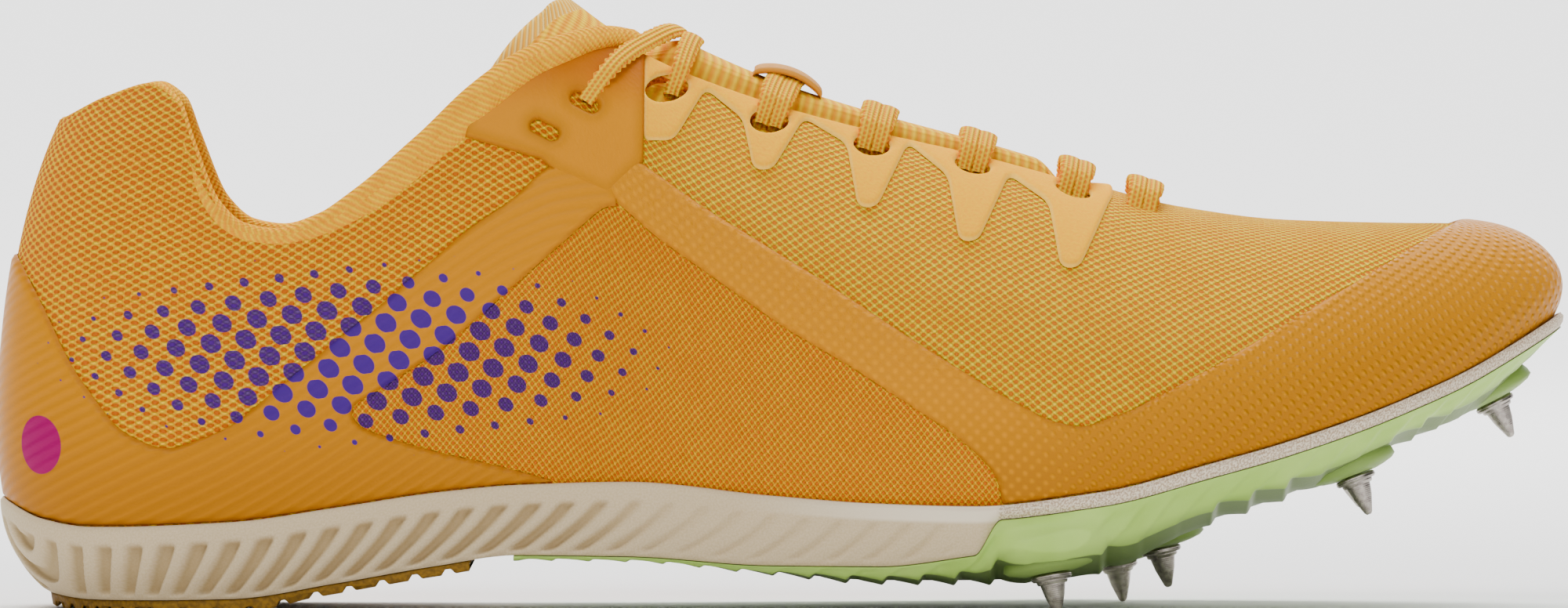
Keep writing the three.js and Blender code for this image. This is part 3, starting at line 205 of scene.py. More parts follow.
def turn_at_height(t, height_at):
    """Turn at which the section of each station reaches a height that depends on x."""
    low = np.zeros(np.shape(t))
    high = np.full(np.shape(t), math.pi / 2)
    for _ in range(HALVINGS):
        middle = (low + high) / 2
        point = last_point(t, middle)
        under = point[..., 2] < height_at(point[..., 0])
        low = np.where(under, middle, low)
        high = np.where(under, high, middle)
    return low


def turn_at_distance(t, distance):
    f, _, foot, spine = foot_and_spine(np.asarray(t, float))
    reach = np.clip(distance / np.linalg.norm(foot - spine, axis=-1), 0, 1)
    return np.arccos(reach ** (out_at(f) / 2))


def row_frame(points):
    """From the last's own place to the shoe's place in the frame."""
    return points - np.array([*LAST_MIDDLE, 0.0])


def make_piece(name, points, faces, uv, values=None):
    """A mesh of points in the last's place, with its UV map in millimetres, that rides along."""
    mesh = bpy.data.meshes.new(name)
    mesh.from_pydata(row_frame(np.asarray(points)).tolist(), [], faces)
    layer = mesh.uv_layers.new(name="UVMap")
    corners = np.empty(len(mesh.loops), np.int32)
    mesh.loops.foreach_get("vertex_index", corners)
    layer.data.foreach_set("uv", (uv[corners] * MILLIMETRES).astype(np.float32).ravel())
    for key, numbers in (values or {}).items():
        field = mesh.attributes.new(key, "FLOAT", "POINT")
        field.data.foreach_set("value", np.asarray(numbers, np.float32))
    weld = bmesh.new()
    weld.from_mesh(mesh)
    bmesh.ops.remove_doubles(weld, verts=weld.verts, dist=WELD)
    weld.to_mesh(mesh)
    weld.free()
    mesh.polygons.foreach_set("use_smooth", [True] * len(mesh.polygons))
    mesh.update()
    piece = bpy.data.objects.new(name, mesh)
    bpy.context.scene.collection.objects.link(piece)
    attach(piece, "root")
    return piece


def grid_faces(rows, columns):
    i, j = np.meshgrid(np.arange(rows - 1), np.arange(columns - 1), indexing="ij")
    a = (i * columns + j).ravel()
    return np.stack([a, a + columns, a + columns + 1, a + 1], 1)


def arc_along(line):
    """Distance from the first point of a line to each of its points, measured along it."""
    return np.concatenate([[0], np.cumsum(np.linalg.norm(np.diff(line, axis=0), axis=1))])


def even_stations(first, last, count):
    """Stations from one end to the other, evenly spaced along the shoe's outline."""
    dense = np.linspace(first, last, OUTLINE_SAMPLES)
    arc = arc_along(foot_and_spine(dense)[2])
    return np.interp(np.linspace(0, arc[-1], count), arc, dense)


def even_turns(low, high, count, station=0.45 * LENGTH):
    """Turns from one end to the other, evenly spaced up the section at one station."""
    dense = np.linspace(low, high, SECTION_SAMPLES)
    arc = arc_along(last_point(np.full(SECTION_SAMPLES, station), dense))
    return np.interp(np.linspace(0, arc[-1], count), arc, dense)


def surface_uv(t, turn):
    """Distances on the last, along the shoe and down from its ridge."""
    along = arc_along(last_point(t[:, 0], np.full(len(t), math.pi / 4)))
    if t[-1, 0] < -LENGTH:
        along = np.minimum(along, along[-1] - along)
    points = last_point(t, turn)
    steps = np.linalg.norm(np.diff(points, axis=1), axis=2)
    down = np.concatenate([np.cumsum(steps[:, ::-1], axis=1)[:, ::-1], np.zeros((len(t), 1))], 1)
    ridge_gap = np.linalg.norm(
        points[:, -1] - last_point(t[:, -1], np.full(len(t), math.pi / 2)), axis=1
    )
    return np.stack([np.broadcast_to(along[:, None], t.shape), down + ridge_gap[:, None]], -1)


def outline_distance(outline, x, z):
    """Distance from the side view's points to a closed outline, positive inside it."""
    outline = np.asarray(outline)
    nearest = np.full(x.shape, 1e9)
    crossings = np.zeros(x.shape, bool)
    for (ax, az), (bx, bz) in zip(outline, np.roll(outline, -1, axis=0)):
        dx, dz = bx - ax, bz - az
        share = np.clip(((x - ax) * dx + (z - az) * dz) / (dx * dx + dz * dz + 1e-18), 0, 1)
        nearest = np.minimum(nearest, (x - ax - share * dx) ** 2 + (z - az - share * dz) ** 2)
        spans = (az > z) != (bz > z)
        crossings ^= spans & (x < ax + (z - az) * dx / (dz if dz else 1e-12))
    return np.where(crossings, 1, -1) * np.sqrt(nearest)


def rounded(points, radius, steps=6):
    """An outline with each corner drawn as a short curve."""
    points = np.asarray(points, float)
    shares = np.linspace(0, 1, steps)[:, None]
    drawn = []
    for i, corner in enumerate(points):
        before, after = points[i - 1] - corner, points[(i + 1) % len(points)] - corner
        a = corner + before * min(radius / max(np.linalg.norm(before), 1e-9), 0.5)
        b = corner + after * min(radius / max(np.linalg.norm(after), 1e-9), 0.5)
        drawn.append((1 - shares) ** 2 * a + 2 * shares * (1 - shares) * corner + shares**2 * b)
    return np.concatenate(drawn)


def cut_grid(t, turn, distance):
    """Grid cells where a distance is positive, with the cells on its zero line cut along it."""
    rows, columns = t.shape
    fields = np.stack([t, turn, distance], -1).reshape(-1, 3)
    d = fields[:, 2]
    cells = grid_faces(rows, columns)
    inside = d[cells] > 0
    count = inside.sum(1)
    points = [tuple(p) for p in fields]
    crossing = {}

    def cross(a, b):
        key = (min(a, b), max(a, b))
        if key not in crossing:
            share = d[a] / (d[a] - d[b])
            crossing[key] = len(points)
            points.append(tuple(fields[a] + (fields[b] - fields[a]) * share))
        return crossing[key]

    faces = [tuple(cell) for cell in cells[count == 4].tolist()]
    for cell in cells[(count > 0) & (count < 4)].tolist():
        polygon = []
        for a, b in zip(cell, cell[1:] + cell[:1]):
            if d[a] > 0:
                polygon.append(a)
            if (d[a] > 0) != (d[b] > 0):
                polygon.append(cross(a, b))
        if len(polygon) > 2:
            faces.append(tuple(polygon))
    used = sorted({index for face in faces for index in face})
    place = {old: new for new, old in enumerate(used)}
    kept = np.array([points[index] for index in used])
    return kept, [tuple(place[index] for index in face) for face in faces]


# The side view's edges that panels share, as shares of the length and of the instep's height
COLLAR_HEIGHT = INSTEP_HEIGHT + 0.0011
ROLL_HEIGHT = 0.0072
ROLL_THICKNESS = 0.0070
ROLL_PROUD = 0.0006
ROLL_LENGTH = 0.1165
THROAT_WIDTH = 0.022
THROAT_END = 0.201
THROAT_STRETCH = 0.0008  # the laces hold the two edges this much further apart
THROAT_SEAM = 0.0004
ROLL_COVER = 0.001
CUT_REACH = 0.003
WALL = 0.0018
FILM = 0.0008
GAP = 0.0003
COLLAR = {
    "at": [0.042, 0.07, 0.1, 0.116, 0.126, 0.143, 0.16, 0.179, 0.2, 0.23, 0.265, 0.3, 0.34, 0.382,
           0.408],
    "top": [0.858, 0.896, 0.919, 0.893, 0.826, 0.714, 0.673, 0.664, 0.681, 0.735, 0.818, 0.902,
            0.9715, 1, 0.987],
    "roll": [0.34, 0.36, 0.42, 0.5, 0.6, 0.62, 0.55, 0.5, 0.6, 0.86, 1, 0.94, 0.85, 0.66, 0.54],
    "pad": [1, 1, 0.86, 0.78, 0.7, 0.6, 0.57, 0.57, 0.57, 0.57, 0.57, 0.57, 0.57, 0.5, 0.5],
}
collar_top = curve(COLLAR, "top", COLLAR_HEIGHT)
roll_height = curve(COLLAR, "roll", ROLL_HEIGHT)
roll_thickness = curve(COLLAR, "pad", ROLL_THICKNESS)


def side_outline(*shares):
    return np.array(shares) * [LENGTH, INSTEP_HEIGHT]


def throat_distance(points):
    """Distance outwards from the slot along the ridge, which ends in a half circle."""
    half = THROAT_WIDTH / 2
    x = np.minimum(points[..., 0], THROAT_END - half)
    away = np.hypot(points[..., 0] - x, points[..., 1] - centre_at(x) - lean_at(x))
    return away - half


TABS = {
    "left": [0.4115, 0.474, 0.54, 0.604, 0.668],
    "tip": [0.82, 0.769, 0.704, 0.646, 0.6],
    "strip": [0.908, 0.857, 0.813, 0.758, 0.711],
    "eyelet": [0.426, 0.491, 0.556, 0.62, 0.684],
}
TAB_SLOPE = 0.007
TAB_FOOT = 0.019
TAB_RUN = 0.039
EYESTAY_END = 0.71
EYESTAY_FRONT = 0.72
EYELET_WIDTH = 0.0066
EYELET_LENGTH = 0.0076
EYELET_DROP = 0.0054


def eyelet_distance(points, side):
    """Distance outwards from the nearest eyelet of one side, measured on the surface."""
    nearest = np.full(points.shape[:-1], 1e3)
    for share in TABS["eyelet"]:
        t = np.array(side * share * LENGTH)
        turn = turn_at_distance(t, THROAT_WIDTH / 2 + EYELET_DROP)
        centre = last_point(t, turn)
        along = unit_vectors(last_point(t + TINY_STEP, turn) - last_point(t - TINY_STEP, turn))
        up = unit_vectors(last_point(t, turn + TINY_TURN) - last_point(t, turn - TINY_TURN))
        away = points - centre
        a, b = EYELET_WIDTH / 2, EYELET_LENGTH / 2
        reach = np.hypot(away @ along / a, away @ up / b)
        near = np.abs(away @ np.cross(along, up)) < EYELET_LENGTH
        nearest = np.where(near, np.minimum(nearest, (reach - 1) * min(a, b)), nearest)
    return nearest


UPPER_STATIONS = 275
UPPER_TURNS = 86


def upper_shell(offset, flip):
    """The last's surface at an offset, cut along the middle of the collar roll and the throat."""
    stations = even_stations(0, LENGTH, UPPER_STATIONS)
    ring = np.concatenate([-stations, 2 * -LENGTH + stations[::-1][1:]])
    turns = even_turns(0.0, math.pi / 2, UPPER_TURNS)
    t, turn = np.meshgrid(ring, turns, indexing="ij")
    points = offset_point(t, turn, offset)
    x, z = points[..., 0], points[..., 2]
    under_collar = collar_top(x) - roll_height(x) / 2 - z
    in_collar = x < ROLL_LENGTH - ROLL_COVER
    from_throat = throat_distance(points) + THROAT_SEAM - THROAT_STRETCH
    open_here = np.where(in_collar, under_collar, from_throat)
    outer_face = last_point(t, turn)
    for side in (-1, 1):
        open_here = np.minimum(open_here, eyelet_distance(outer_face, side))
    fields, faces = cut_grid(t, turn, np.clip(open_here, -CUT_REACH, CUT_REACH))
    placed = offset_point(fields[:, 0], fields[:, 1], offset)
    uv_grid = surface_uv(t, turn)
    uv = np.stack([sample(uv_grid[..., k], ring, turns, fields) for k in range(2)], -1)
    if flip:
        faces = [face[::-1] for face in faces]
    return placed, faces, uv


def sample(values, ring, turns, fields):
    """Value of a grid at free places, straight between its rows and columns."""
    along = np.interp(-fields[:, 0], -ring, np.arange(len(ring)))
    up = np.interp(fields[:, 1], turns, np.arange(len(turns)))
    i = np.clip(along.astype(int), 0, len(ring) - 2)
    j = np.clip(up.astype(int), 0, len(turns) - 2)
    a, b = along - i, up - j
    low = mix(values[i, j], values[i + 1, j], a)
    return mix(low, mix(values[i, j + 1], values[i + 1, j + 1], a), b)


QUARTER = rounded(
    side_outline(
        (0.392, 0.72), (0.285, 0.461), (0.24, 0.381), (0.228, 0.364), (0.227, 0.344),
        (0.233, 0.323), (0.25, 0.307), (0.28, 0.282), (0.31, 0.265), (0.35, 0.237),
        (0.362, 0.225), (0.366, 0.1), (0.6385, 0.1), (0.6375, 0.2), (0.632, 0.25), (0.622, 0.28),
        (0.605, 0.32), (0.542, 0.432), (0.5, 0.499), (0.42, 0.653),
    ),
    radius=0.004,
)
VAMP = rounded(
    side_outline((0.392, 0.72), (0.6, 0.34), (0.6, -1), (2, -1), (2, 2), (0.3, 2)), radius=0.001
)

outer, outer_faces, outer_uv = upper_shell(offset=0.0, flip=False)
lining, lining_faces, lining_uv = upper_shell(offset=-WALL, flip=True)
start = len(outer)
upper_points = np.concatenate([outer, lining])
upper_x, upper_z = upper_points[:, 0], upper_points[:, 2]
upper = make_piece(
    "upper_mesh",
    upper_points,
    outer_faces + [tuple(start + index for index in face) for face in lining_faces],
    np.concatenate([outer_uv, lining_uv]),
    {
        "quarter": outline_distance(QUARTER, upper_x, upper_z) * MILLIMETRES,
        "vamp": outline_distance(VAMP, upper_x, upper_z) * MILLIMETRES,
        "lining": np.concatenate([np.zeros(start), np.ones(len(lining))]),
    },
)


RICHNESS = 1.5


def paint(red, green, blue):
    """A colour as the eye sees it, 0 to 255, made richer because the picture pales it."""
    linear = [(part / 255) ** 2.2 for part in (red, green, blue)]
    grey = sum(linear) / 3
    return (*[min(1, max(0, grey + RICHNESS * (part - grey))) for part in linear], 1)


def wire(tree, source, socket):
    """Joins an output to an input, or sets the input to a plain value."""
    if isinstance(source, bpy.types.NodeSocket):
        tree.links.new(source, socket)
    else:
        socket.default_value = source


def add(tree, kind, *sources, **settings):
    """A new node with its settings and first inputs, which gives back its first output."""
    node = tree.nodes.new("ShaderNode" + kind)
    for key, value in settings.items():
        setattr(node, key, value)
    for socket, source in zip(node.inputs, sources):
        if source is not None:
            wire(tree, source, socket)
    return node.outputs[0]


def maths(tree, operation, *sources):
    return add(tree, "Math", *sources, operation=operation)


def ramp(tree, value, low, high, start=0.0, end=1.0):
    """A soft step between two values."""
    return add(
        tree, "MapRange", value, low, high, start, end, interpolation_type="SMOOTHSTEP"
    )


def blend(tree, share, first, second):
    node = tree.nodes.new("ShaderNodeMix")
    node.data_type = "RGBA"
    wire(tree, share, node.inputs["Factor"])
    wire(tree, first, node.inputs[6])
    wire(tree, second, node.inputs[7])
    return node.outputs[2]


def tint(tree, tone, mask, amount, colour):
    """A tone with a share of another colour laid over it where a mask says."""
    return blend(tree, maths(tree, "MULTIPLY", mask, amount), tone, colour)


def grain(tree, place, scale, detail=2.0):
    """Soft noise from 0 to 1, with so many grains to the place's own unit."""
    node = tree.nodes.new("ShaderNodeTexNoise")
    wire(tree, place, node.inputs["Vector"])
    node.inputs["Scale"].default_value = scale
    node.inputs["Detail"].default_value = detail
    return node.outputs[0]


def parts_of(tree, vector):
    node = tree.nodes.new("ShaderNodeSeparateXYZ")
    wire(tree, vector, node.inputs[0])
    return node.outputs[0], node.outputs[1], node.outputs[2]


def map_place(tree):
    """The piece's own UV map, in millimetres."""
    return add(tree, "UVMap", uv_map="UVMap")


def frame_place(tree):
    """The place in the shoe's frame, in metres."""
    return tree.nodes.new("ShaderNodeTexCoord").outputs["Object"]


def field(tree, name):
    node = tree.nodes.new("ShaderNodeAttribute")
    node.attribute_name = name
    return node.outputs["Fac"]


def shared_effect(name, inputs, outputs):
    """A node group with named sockets, its input sockets and its output sockets."""
    tree = bpy.data.node_groups.new(name, "ShaderNodeTree")
    for key, kind in inputs.items():
        tree.interface.new_socket(key, in_out="INPUT", socket_type="NodeSocket" + kind)
    for key in outputs:
        tree.interface.new_socket(key, in_out="OUTPUT", socket_type="NodeSocketFloat")
    source = tree.nodes.new("NodeGroupInput").outputs
    return tree, source, tree.nodes.new("NodeGroupOutput").inputs


def use_effect(tree, effect, **sources):
    node = tree.nodes.new("ShaderNodeGroup")
    node.node_tree = effect
    for key, source in sources.items():
        wire(tree, source, node.inputs[key])
    return node.outputs


def new_material(name, **constants):
    """A material, its tree and its Principled node, with the node's plain values set."""
    material = bpy.data.materials.new(name)
    material.use_nodes = True
    tree = material.node_tree
    shader = tree.nodes["Principled BSDF"]
    for key, value in constants.items():
        shader.inputs[key.replace("_", " ")].default_value = value
    return material, tree, shader


def relief(tree, shader, height, depth):
    """Bump from a height of 0 to 1 that stands for a depth in metres."""
    node = tree.nodes.new("ShaderNodeBump")
    node.inputs["Distance"].default_value = depth
    wire(tree, height, node.inputs["Height"])
    wire(tree, node.outputs["Normal"], shader.inputs["Normal"])


# Net of strands round staggered holes, from a place in millimetres
open_net, net_in, net_out = shared_effect(
    "open_net",
    {"Place": "Vector", "Pitch": "Float", "Rise": "Float", "Hole": "Float", "Wobble": "Float"},
    ["Open", "Height", "Fibre"],
)
drift = add(open_net, "VectorMath", None, (0.5, 0.5, 0.5), operation="SUBTRACT")
drift_noise = open_net.nodes.new("ShaderNodeTexNoise")
wire(open_net, net_in["Place"], drift_noise.inputs["Vector"])
drift_noise.inputs["Scale"].default_value = 0.4
wire(open_net, drift_noise.outputs["Color"], drift.node.inputs[0])
drift = add(open_net, "VectorMath", drift, None, operation="SCALE")
wire(open_net, net_in["Wobble"], drift.node.inputs["Scale"])
along, down, _ = parts_of(
    open_net, add(open_net, "VectorMath", net_in["Place"], drift, operation="ADD")
)
along = maths(open_net, "DIVIDE", along, net_in["Pitch"])
down = maths(open_net, "DIVIDE", down, net_in["Rise"])
waves = []
for operation in ("ADD", "SUBTRACT"):
    turn = maths(open_net, "MULTIPLY", maths(open_net, operation, along, down), 2 * math.pi)
    waves.append(maths(open_net, "COSINE", turn))
peak = maths(open_net, "MULTIPLY_ADD", maths(open_net, "ADD", *waves), 0.25, 0.5)
near = maths(open_net, "SUBTRACT", peak, net_in["Hole"])
wire(open_net, ramp(open_net, near, -0.07, 0.09), net_out["Open"])
wire(open_net, ramp(open_net, near, 0.08, -0.5), net_out["Height"])
fibre = maths(open_net, "MULTIPLY", maths(open_net, "SUBTRACT", waves[0], waves[1]), 7.0)
fibre = maths(open_net, "MULTIPLY_ADD", maths(open_net, "SINE", fibre), 0.5, 0.5)
wire(open_net, fibre, net_out["Fibre"])

# Straight ridges side by side, at an angle, from a place in millimetres
ridges, ridges_in, ridges_out = shared_effect(
    "ridges", {"Place": "Vector", "Pitch": "Float", "Angle": "Float"}, ["Height"]
)
along, down, _ = parts_of(ridges, ridges_in["Place"])
turned = maths(
    ridges,
    "ADD",
    maths(ridges, "MULTIPLY", along, maths(ridges, "COSINE", ridges_in["Angle"])),
    maths(ridges, "MULTIPLY", down, maths(ridges, "SINE", ridges_in["Angle"])),
)
turn = maths(ridges, "MULTIPLY", maths(ridges, "DIVIDE", turned, ridges_in["Pitch"]), 2 * math.pi)
wire(ridges, maths(ridges, "MULTIPLY_ADD", maths(ridges, "COSINE", turn), 0.5, 0.5), ridges_out[0])

# Staggered rows of round dots, from a place in the same unit as the pitch
dot_rows, dots_in, dots_out = shared_effect(
    "dot_rows",
    {"Place": "Vector", "Pitch": "Float", "Rise": "Float", "Radius": "Float", "Soft": "Float"},
    ["Dot"],
)
along, down, _ = parts_of(dot_rows, dots_in["Place"])
down = maths(dot_rows, "DIVIDE", down, dots_in["Rise"])
shift = maths(dot_rows, "PINGPONG", maths(dot_rows, "FLOOR", down), 1.0)
along = maths(dot_rows, "DIVIDE", along, dots_in["Pitch"])
along = maths(dot_rows, "MULTIPLY_ADD", shift, 0.5, along)
offsets = []
for way, size in ((along, "Pitch"), (down, "Rise")):
    cell = maths(dot_rows, "SUBTRACT", maths(dot_rows, "FRACT", way), 0.5)
    offset = maths(dot_rows, "MULTIPLY", cell, dots_in[size])
    offsets.append(maths(dot_rows, "MULTIPLY", offset, offset))
away = maths(dot_rows, "SQRT", maths(dot_rows, "ADD", *offsets))
past_edge = maths(dot_rows, "SUBTRACT", away, dots_in["Radius"])
far = maths(dot_rows, "DIVIDE", past_edge, dots_in["Soft"])
wire(dot_rows, ramp(dot_rows, far, 1.0, -1.0), dots_out["Dot"])

# A plain printed field of round dots on the outer side, which thin out towards its ends
PRINT_MIDDLE = (-0.076, 0.047)  # along and up, in the shoe's frame
PRINT_REACH = (0.062, 0.019)
PRINT_LEAN = 0.35
PRINT_SLOPE = -0.12
PRINT_PITCH = 0.0066
PRINT_RISE = 0.0035
PRINT_RADIUS = 0.0019
PRINT_SOFTNESS = 0.00012
print_area, print_in, print_out = shared_effect("print_area", {"Place": "Vector"}, ["Ink"])
along, across_shoe, up = parts_of(print_area, print_in["Place"])
side_view = print_area.nodes.new("ShaderNodeCombineXYZ")
wire(print_area, maths(print_area, "MULTIPLY_ADD", up, PRINT_LEAN, along), side_view.inputs[0])
wire(print_area, maths(print_area, "MULTIPLY_ADD", along, PRINT_SLOPE, up), side_view.inputs[1])
ahead, above = [
    maths(print_area, "DIVIDE", maths(print_area, "SUBTRACT", way, middle), reach)
    for way, middle, reach in zip((along, up), PRINT_MIDDLE, PRINT_REACH)
]
ring_away = maths(
    print_area,
    "ADD",
    maths(print_area, "MULTIPLY", ahead, ahead),
    maths(print_area, "MULTIPLY", above, above),
)
dot = use_effect(
    print_area, dot_rows, Place=side_view.outputs[0], Pitch=PRINT_PITCH, Rise=PRINT_RISE,
    Radius=ramp(print_area, ring_away, 0.1, 1.0, PRINT_RADIUS, 0.0), Soft=PRINT_SOFTNESS,
)
outer_side = maths(print_area, "LESS_THAN", across_shoe, 0.0)
inside = maths(print_area, "LESS_THAN", ring_away, 0.97)
wire(
    print_area,
    maths(print_area, "MULTIPLY", dot[0], maths(print_area, "MULTIPLY", outer_side, inside)),
    print_out[0],
)
INK_PURPLE = paint(60, 42, 118)

mesh_look, tree, shader = new_material("open_mesh", Roughness=0.8, Specular_IOR_Level=0.08)
place = map_place(tree)
heel_net = use_effect(tree, open_net, Place=place, Pitch=2.3, Rise=1.5, Hole=0.58, Wobble=0.7)
vamp_net = use_effect(tree, open_net, Place=place, Pitch=2.0, Rise=1.6, Hole=0.6, Wobble=0.6)
knit_net = use_effect(tree, open_net, Place=place, Pitch=1.25, Rise=1.5, Hole=0.7, Wobble=0.5)
in_vamp = ramp(tree, field(tree, "vamp"), -0.3, 0.3)
in_quarter = ramp(tree, field(tree, "quarter"), -0.15, 0.15)
patchy = ramp(tree, grain(tree, place, 0.12), 0.35, 0.65)
strand_tone = blend(tree, patchy, paint(255, 194, 76), paint(255, 206, 92))
vamp_tone = blend(tree, patchy, paint(255, 204, 100), paint(255, 220, 130))
knit_tone = blend(tree, patchy, paint(238, 176, 80), paint(244, 186, 90))
# Each net's looks: the net, its strand tone, a darker colour that paints shade on the strands' low
# flanks and also marks the fibre stripes, and the hole colour
looks = [
    (heel_net, strand_tone, paint(238, 166, 30), paint(180, 108, 6)),
    (vamp_net, vamp_tone, paint(250, 184, 50), paint(192, 122, 6)),
    (knit_net, knit_tone, paint(224, 150, 40), paint(198, 116, 18)),
]
tones, heights = [], []
for net, strand_paint, flank_shade_and_fibre_paint, shaded_hole_paint in looks:
    # Painted shade: each strand darkens down its low flanks towards the holes, from the net's
    # height
    painted_flank_shade = maths(tree, "SUBTRACT", 1, ramp(tree, net["Height"], 0.1, 0.6))
    strand_with_flank_shade = blend(tree, painted_flank_shade, strand_paint, flank_shade_and_fibre_paint)
    strand_with_flank_shade = tint(tree, strand_with_flank_shade, net["Fibre"], 0.3, flank_shade_and_fibre_paint)
    # The holes show the orange lining, painted darker than the lining as shade inside the holes
    tones.append(blend(tree, net["Open"], strand_with_flank_shade, shaded_hole_paint))
    heights.append(maths(tree, "MULTIPLY_ADD", net["Fibre"], 0.12, net["Height"]))
tone = blend(tree, in_vamp, tones[0], tones[1])
tone = blend(tree, in_quarter, tone, tones[2])
height = add(tree, "Mix", in_vamp, None, heights[0], heights[1])
height = add(tree, "Mix", in_quarter, None, height, heights[2])
ink = use_effect(tree, print_area, Place=frame_place(tree))["Ink"]
tone = tint(tree, tone, ink, 0.9, INK_PURPLE)
tone = blend(tree, field(tree, "lining"), tone, paint(214, 128, 20))
wire(tree, tone, shader.inputs["Base Color"])
relief(tree, shader, height, depth=0.0006)
upper.data.materials.append(mesh_look)
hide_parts("upper")


# Heel film and toe film: smooth stretchy film bonded over the mesh, each with a strap that runs
# up to the lacing wing on both sides; the heel has slanted ridges, the toe rows of small dots
COUNTER = rounded(
    side_outline(
        (-0.04, 0.1), (-0.04, 0.645), (0.0, 0.645), (0.011, 0.625), (0.03, 0.536),
        (0.05, 0.426), (0.08, 0.317), (0.11, 0.282), (0.15, 0.323), (0.19, 0.413),
        (0.25, 0.546), (0.3, 0.666), (0.33, 0.72), (0.349, 0.775), (0.375, 0.8),
        (0.395, 0.75), (0.395, 0.1),
    ),
    radius=0.0035,
)
GUARD = rounded(
    side_outline(
        (0.386, 0.735), (0.4, 0.8), (0.413, 0.776), (0.45, 0.704), (0.524, 0.58), (0.578, 0.484),
        (0.631, 0.393), (0.667, 0.34), (0.688, 0.327), (0.721, 0.359), (0.771, 0.431),
        (0.831, 0.525), (0.877, 0.595), (0.917, 0.656), (1.0, 0.75), (1.1, 0.75), (1.1, 0.0),
        (0.638, 0.0), (0.638, 0.18), (0.6365, 0.222), (0.632, 0.252), (0.622, 0.281),
        (0.605, 0.32), (0.542, 0.432), (0.5, 0.499), (0.42, 0.653),
    ),
    radius=0.0016,
)
PANEL_CUT = 0.004
PANEL_INSIDE = 0.02
HEEL_STRAP_END = 0.1125
HEEL_FILM_TOP = 1.35  # as a turn of the last's section
TOE_STRAP_END = 0.1095
HEEL_DOT = (-0.1318, -0.0188, 0.0305)
HEEL_DOT_RADIUS = 0.0062
HEEL_DOT_SOFTNESS = 0.0001


def above_rim(points):
    return points[..., 2] - rim_at(np.clip(points[..., 0], 0, LENGTH)) - GAP


def raised_panel(name, stations, turns, distance_at, thickness, soft=0.0011):
    """A sheet on the upper inside a region, with a rounded edge that comes down to the mesh."""
    t, turn = np.meshgrid(stations, turns, indexing="ij")
    distance = np.clip(distance_at(last_point(t, turn)), -PANEL_CUT, PANEL_INSIDE)
    fields, faces = cut_grid(t, turn, distance)
    share = np.clip(fields[:, 2] / soft, 0, 1)
    height = GAP / 2 + thickness * np.sqrt(1 - (1 - share) ** 2)
    points = offset_point(fields[:, 0], fields[:, 1], height)
    uv_grid = surface_uv(t, turn)
    uv = np.stack([sample(uv_grid[..., k], stations, turns, fields) for k in range(2)], -1)
    return make_piece(name, points, faces, uv, {"edge": fields[:, 2] * MILLIMETRES})


def edge_tone(tree, tone, inner, outer, amount, colour):
    """The tone of a panel's rounded edge, from a distance inside it in millimetres."""
    edge = ramp(tree, field(tree, "edge"), inner, outer)
    return tint(tree, tone, edge, amount, colour)


def counter_distance(points):
    x, z = points[..., 0], points[..., 2]
    in_band = np.minimum(outline_distance(COUNTER, x, z), -outline_distance(QUARTER, x, z))
    return np.minimum(in_band, above_rim(points))


def guard_distance(points):
    x, z = points[..., 0], points[..., 2]
    return np.minimum(outline_distance(GUARD, x, z), above_rim(points))


heel_film = raised_panel(
    "heel_film", even_stations(HEEL_STRAP_END, -HEEL_STRAP_END, 330),
    even_turns(0.0, HEEL_FILM_TOP, 120, station=0.1 * LENGTH), counter_distance, FILM,
)
film_look, tree, shader = new_material("heel_film_look", Roughness=0.38, Specular_IOR_Level=0.06)
place = map_place(tree)
spot = frame_place(tree)
_, _, up = parts_of(tree, spot)
lines = use_effect(tree, ridges, Place=place, Pitch=1.9, Angle=1.02)["Height"]
# Painted light and shade: the film is darker low on the heel and lighter higher up
tone = blend(tree, ramp(tree, up, 0.012, 0.05), paint(155, 109, 0), paint(178, 127, 0))
tone = tint(tree, tone, lines, 0.14, paint(214, 154, 10))
# Painted shade: darker along the film's rounded edge, where it comes down to the mesh
tone = edge_tone(tree, tone, 0.9, 0.1, 0.35, paint(132, 84, 0))
away = add(tree, "VectorMath", spot, HEEL_DOT, operation="DISTANCE").node.outputs["Value"]
round_dot = ramp(
    tree, away, HEEL_DOT_RADIUS + HEEL_DOT_SOFTNESS, HEEL_DOT_RADIUS - HEEL_DOT_SOFTNESS
)
tone = blend(tree, round_dot, tone, paint(140, 40, 96))
ink = use_effect(tree, print_area, Place=spot)["Ink"]
tone = tint(tree, tone, ink, 0.92, INK_PURPLE)
wire(tree, tone, shader.inputs["Base Color"])
fine = grain(tree, place, 2.2, 4)
relief(tree, shader, maths(tree, "MULTIPLY_ADD", fine, 0.35, lines), depth=0.00014)
heel_film.data.materials.append(film_look)
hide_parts("heel_counter")

toe_film = raised_panel(
    "toe_film", even_stations(-TOE_STRAP_END, TOE_STRAP_END - 2 * LENGTH, 520),
    even_turns(0.0, math.pi / 2, 125, station=0.8 * LENGTH), guard_distance, FILM,
)
toe_look, tree, shader = new_material("toe_film_look", Roughness=0.36, Specular_IOR_Level=0.06)
place = map_place(tree)
along, _, up = parts_of(tree, frame_place(tree))
dots = use_effect(tree, dot_rows, Place=place, Pitch=2.5, Rise=1.25, Radius=0.42, Soft=0.38)["Dot"]
in_front = ramp(tree, along, 0.035, 0.06)
creases = grain(tree, place, 0.55, 5)
height = maths(tree, "MULTIPLY", dots, in_front)
height = maths(tree, "MULTIPLY_ADD", creases, ramp(tree, along, 0.06, 0.02, 0.35, 1.6), height)
# Painted shade: the toe film is darker low down, where it curves under towards the sole
over_sole = maths(tree, "SUBTRACT", up, ramp(tree, along, 0.03, 0.15, 0.02, 0.045))
tone = blend(tree, ramp(tree, over_sole, 0.0, 0.022), paint(158, 112, 0), paint(184, 132, 0))
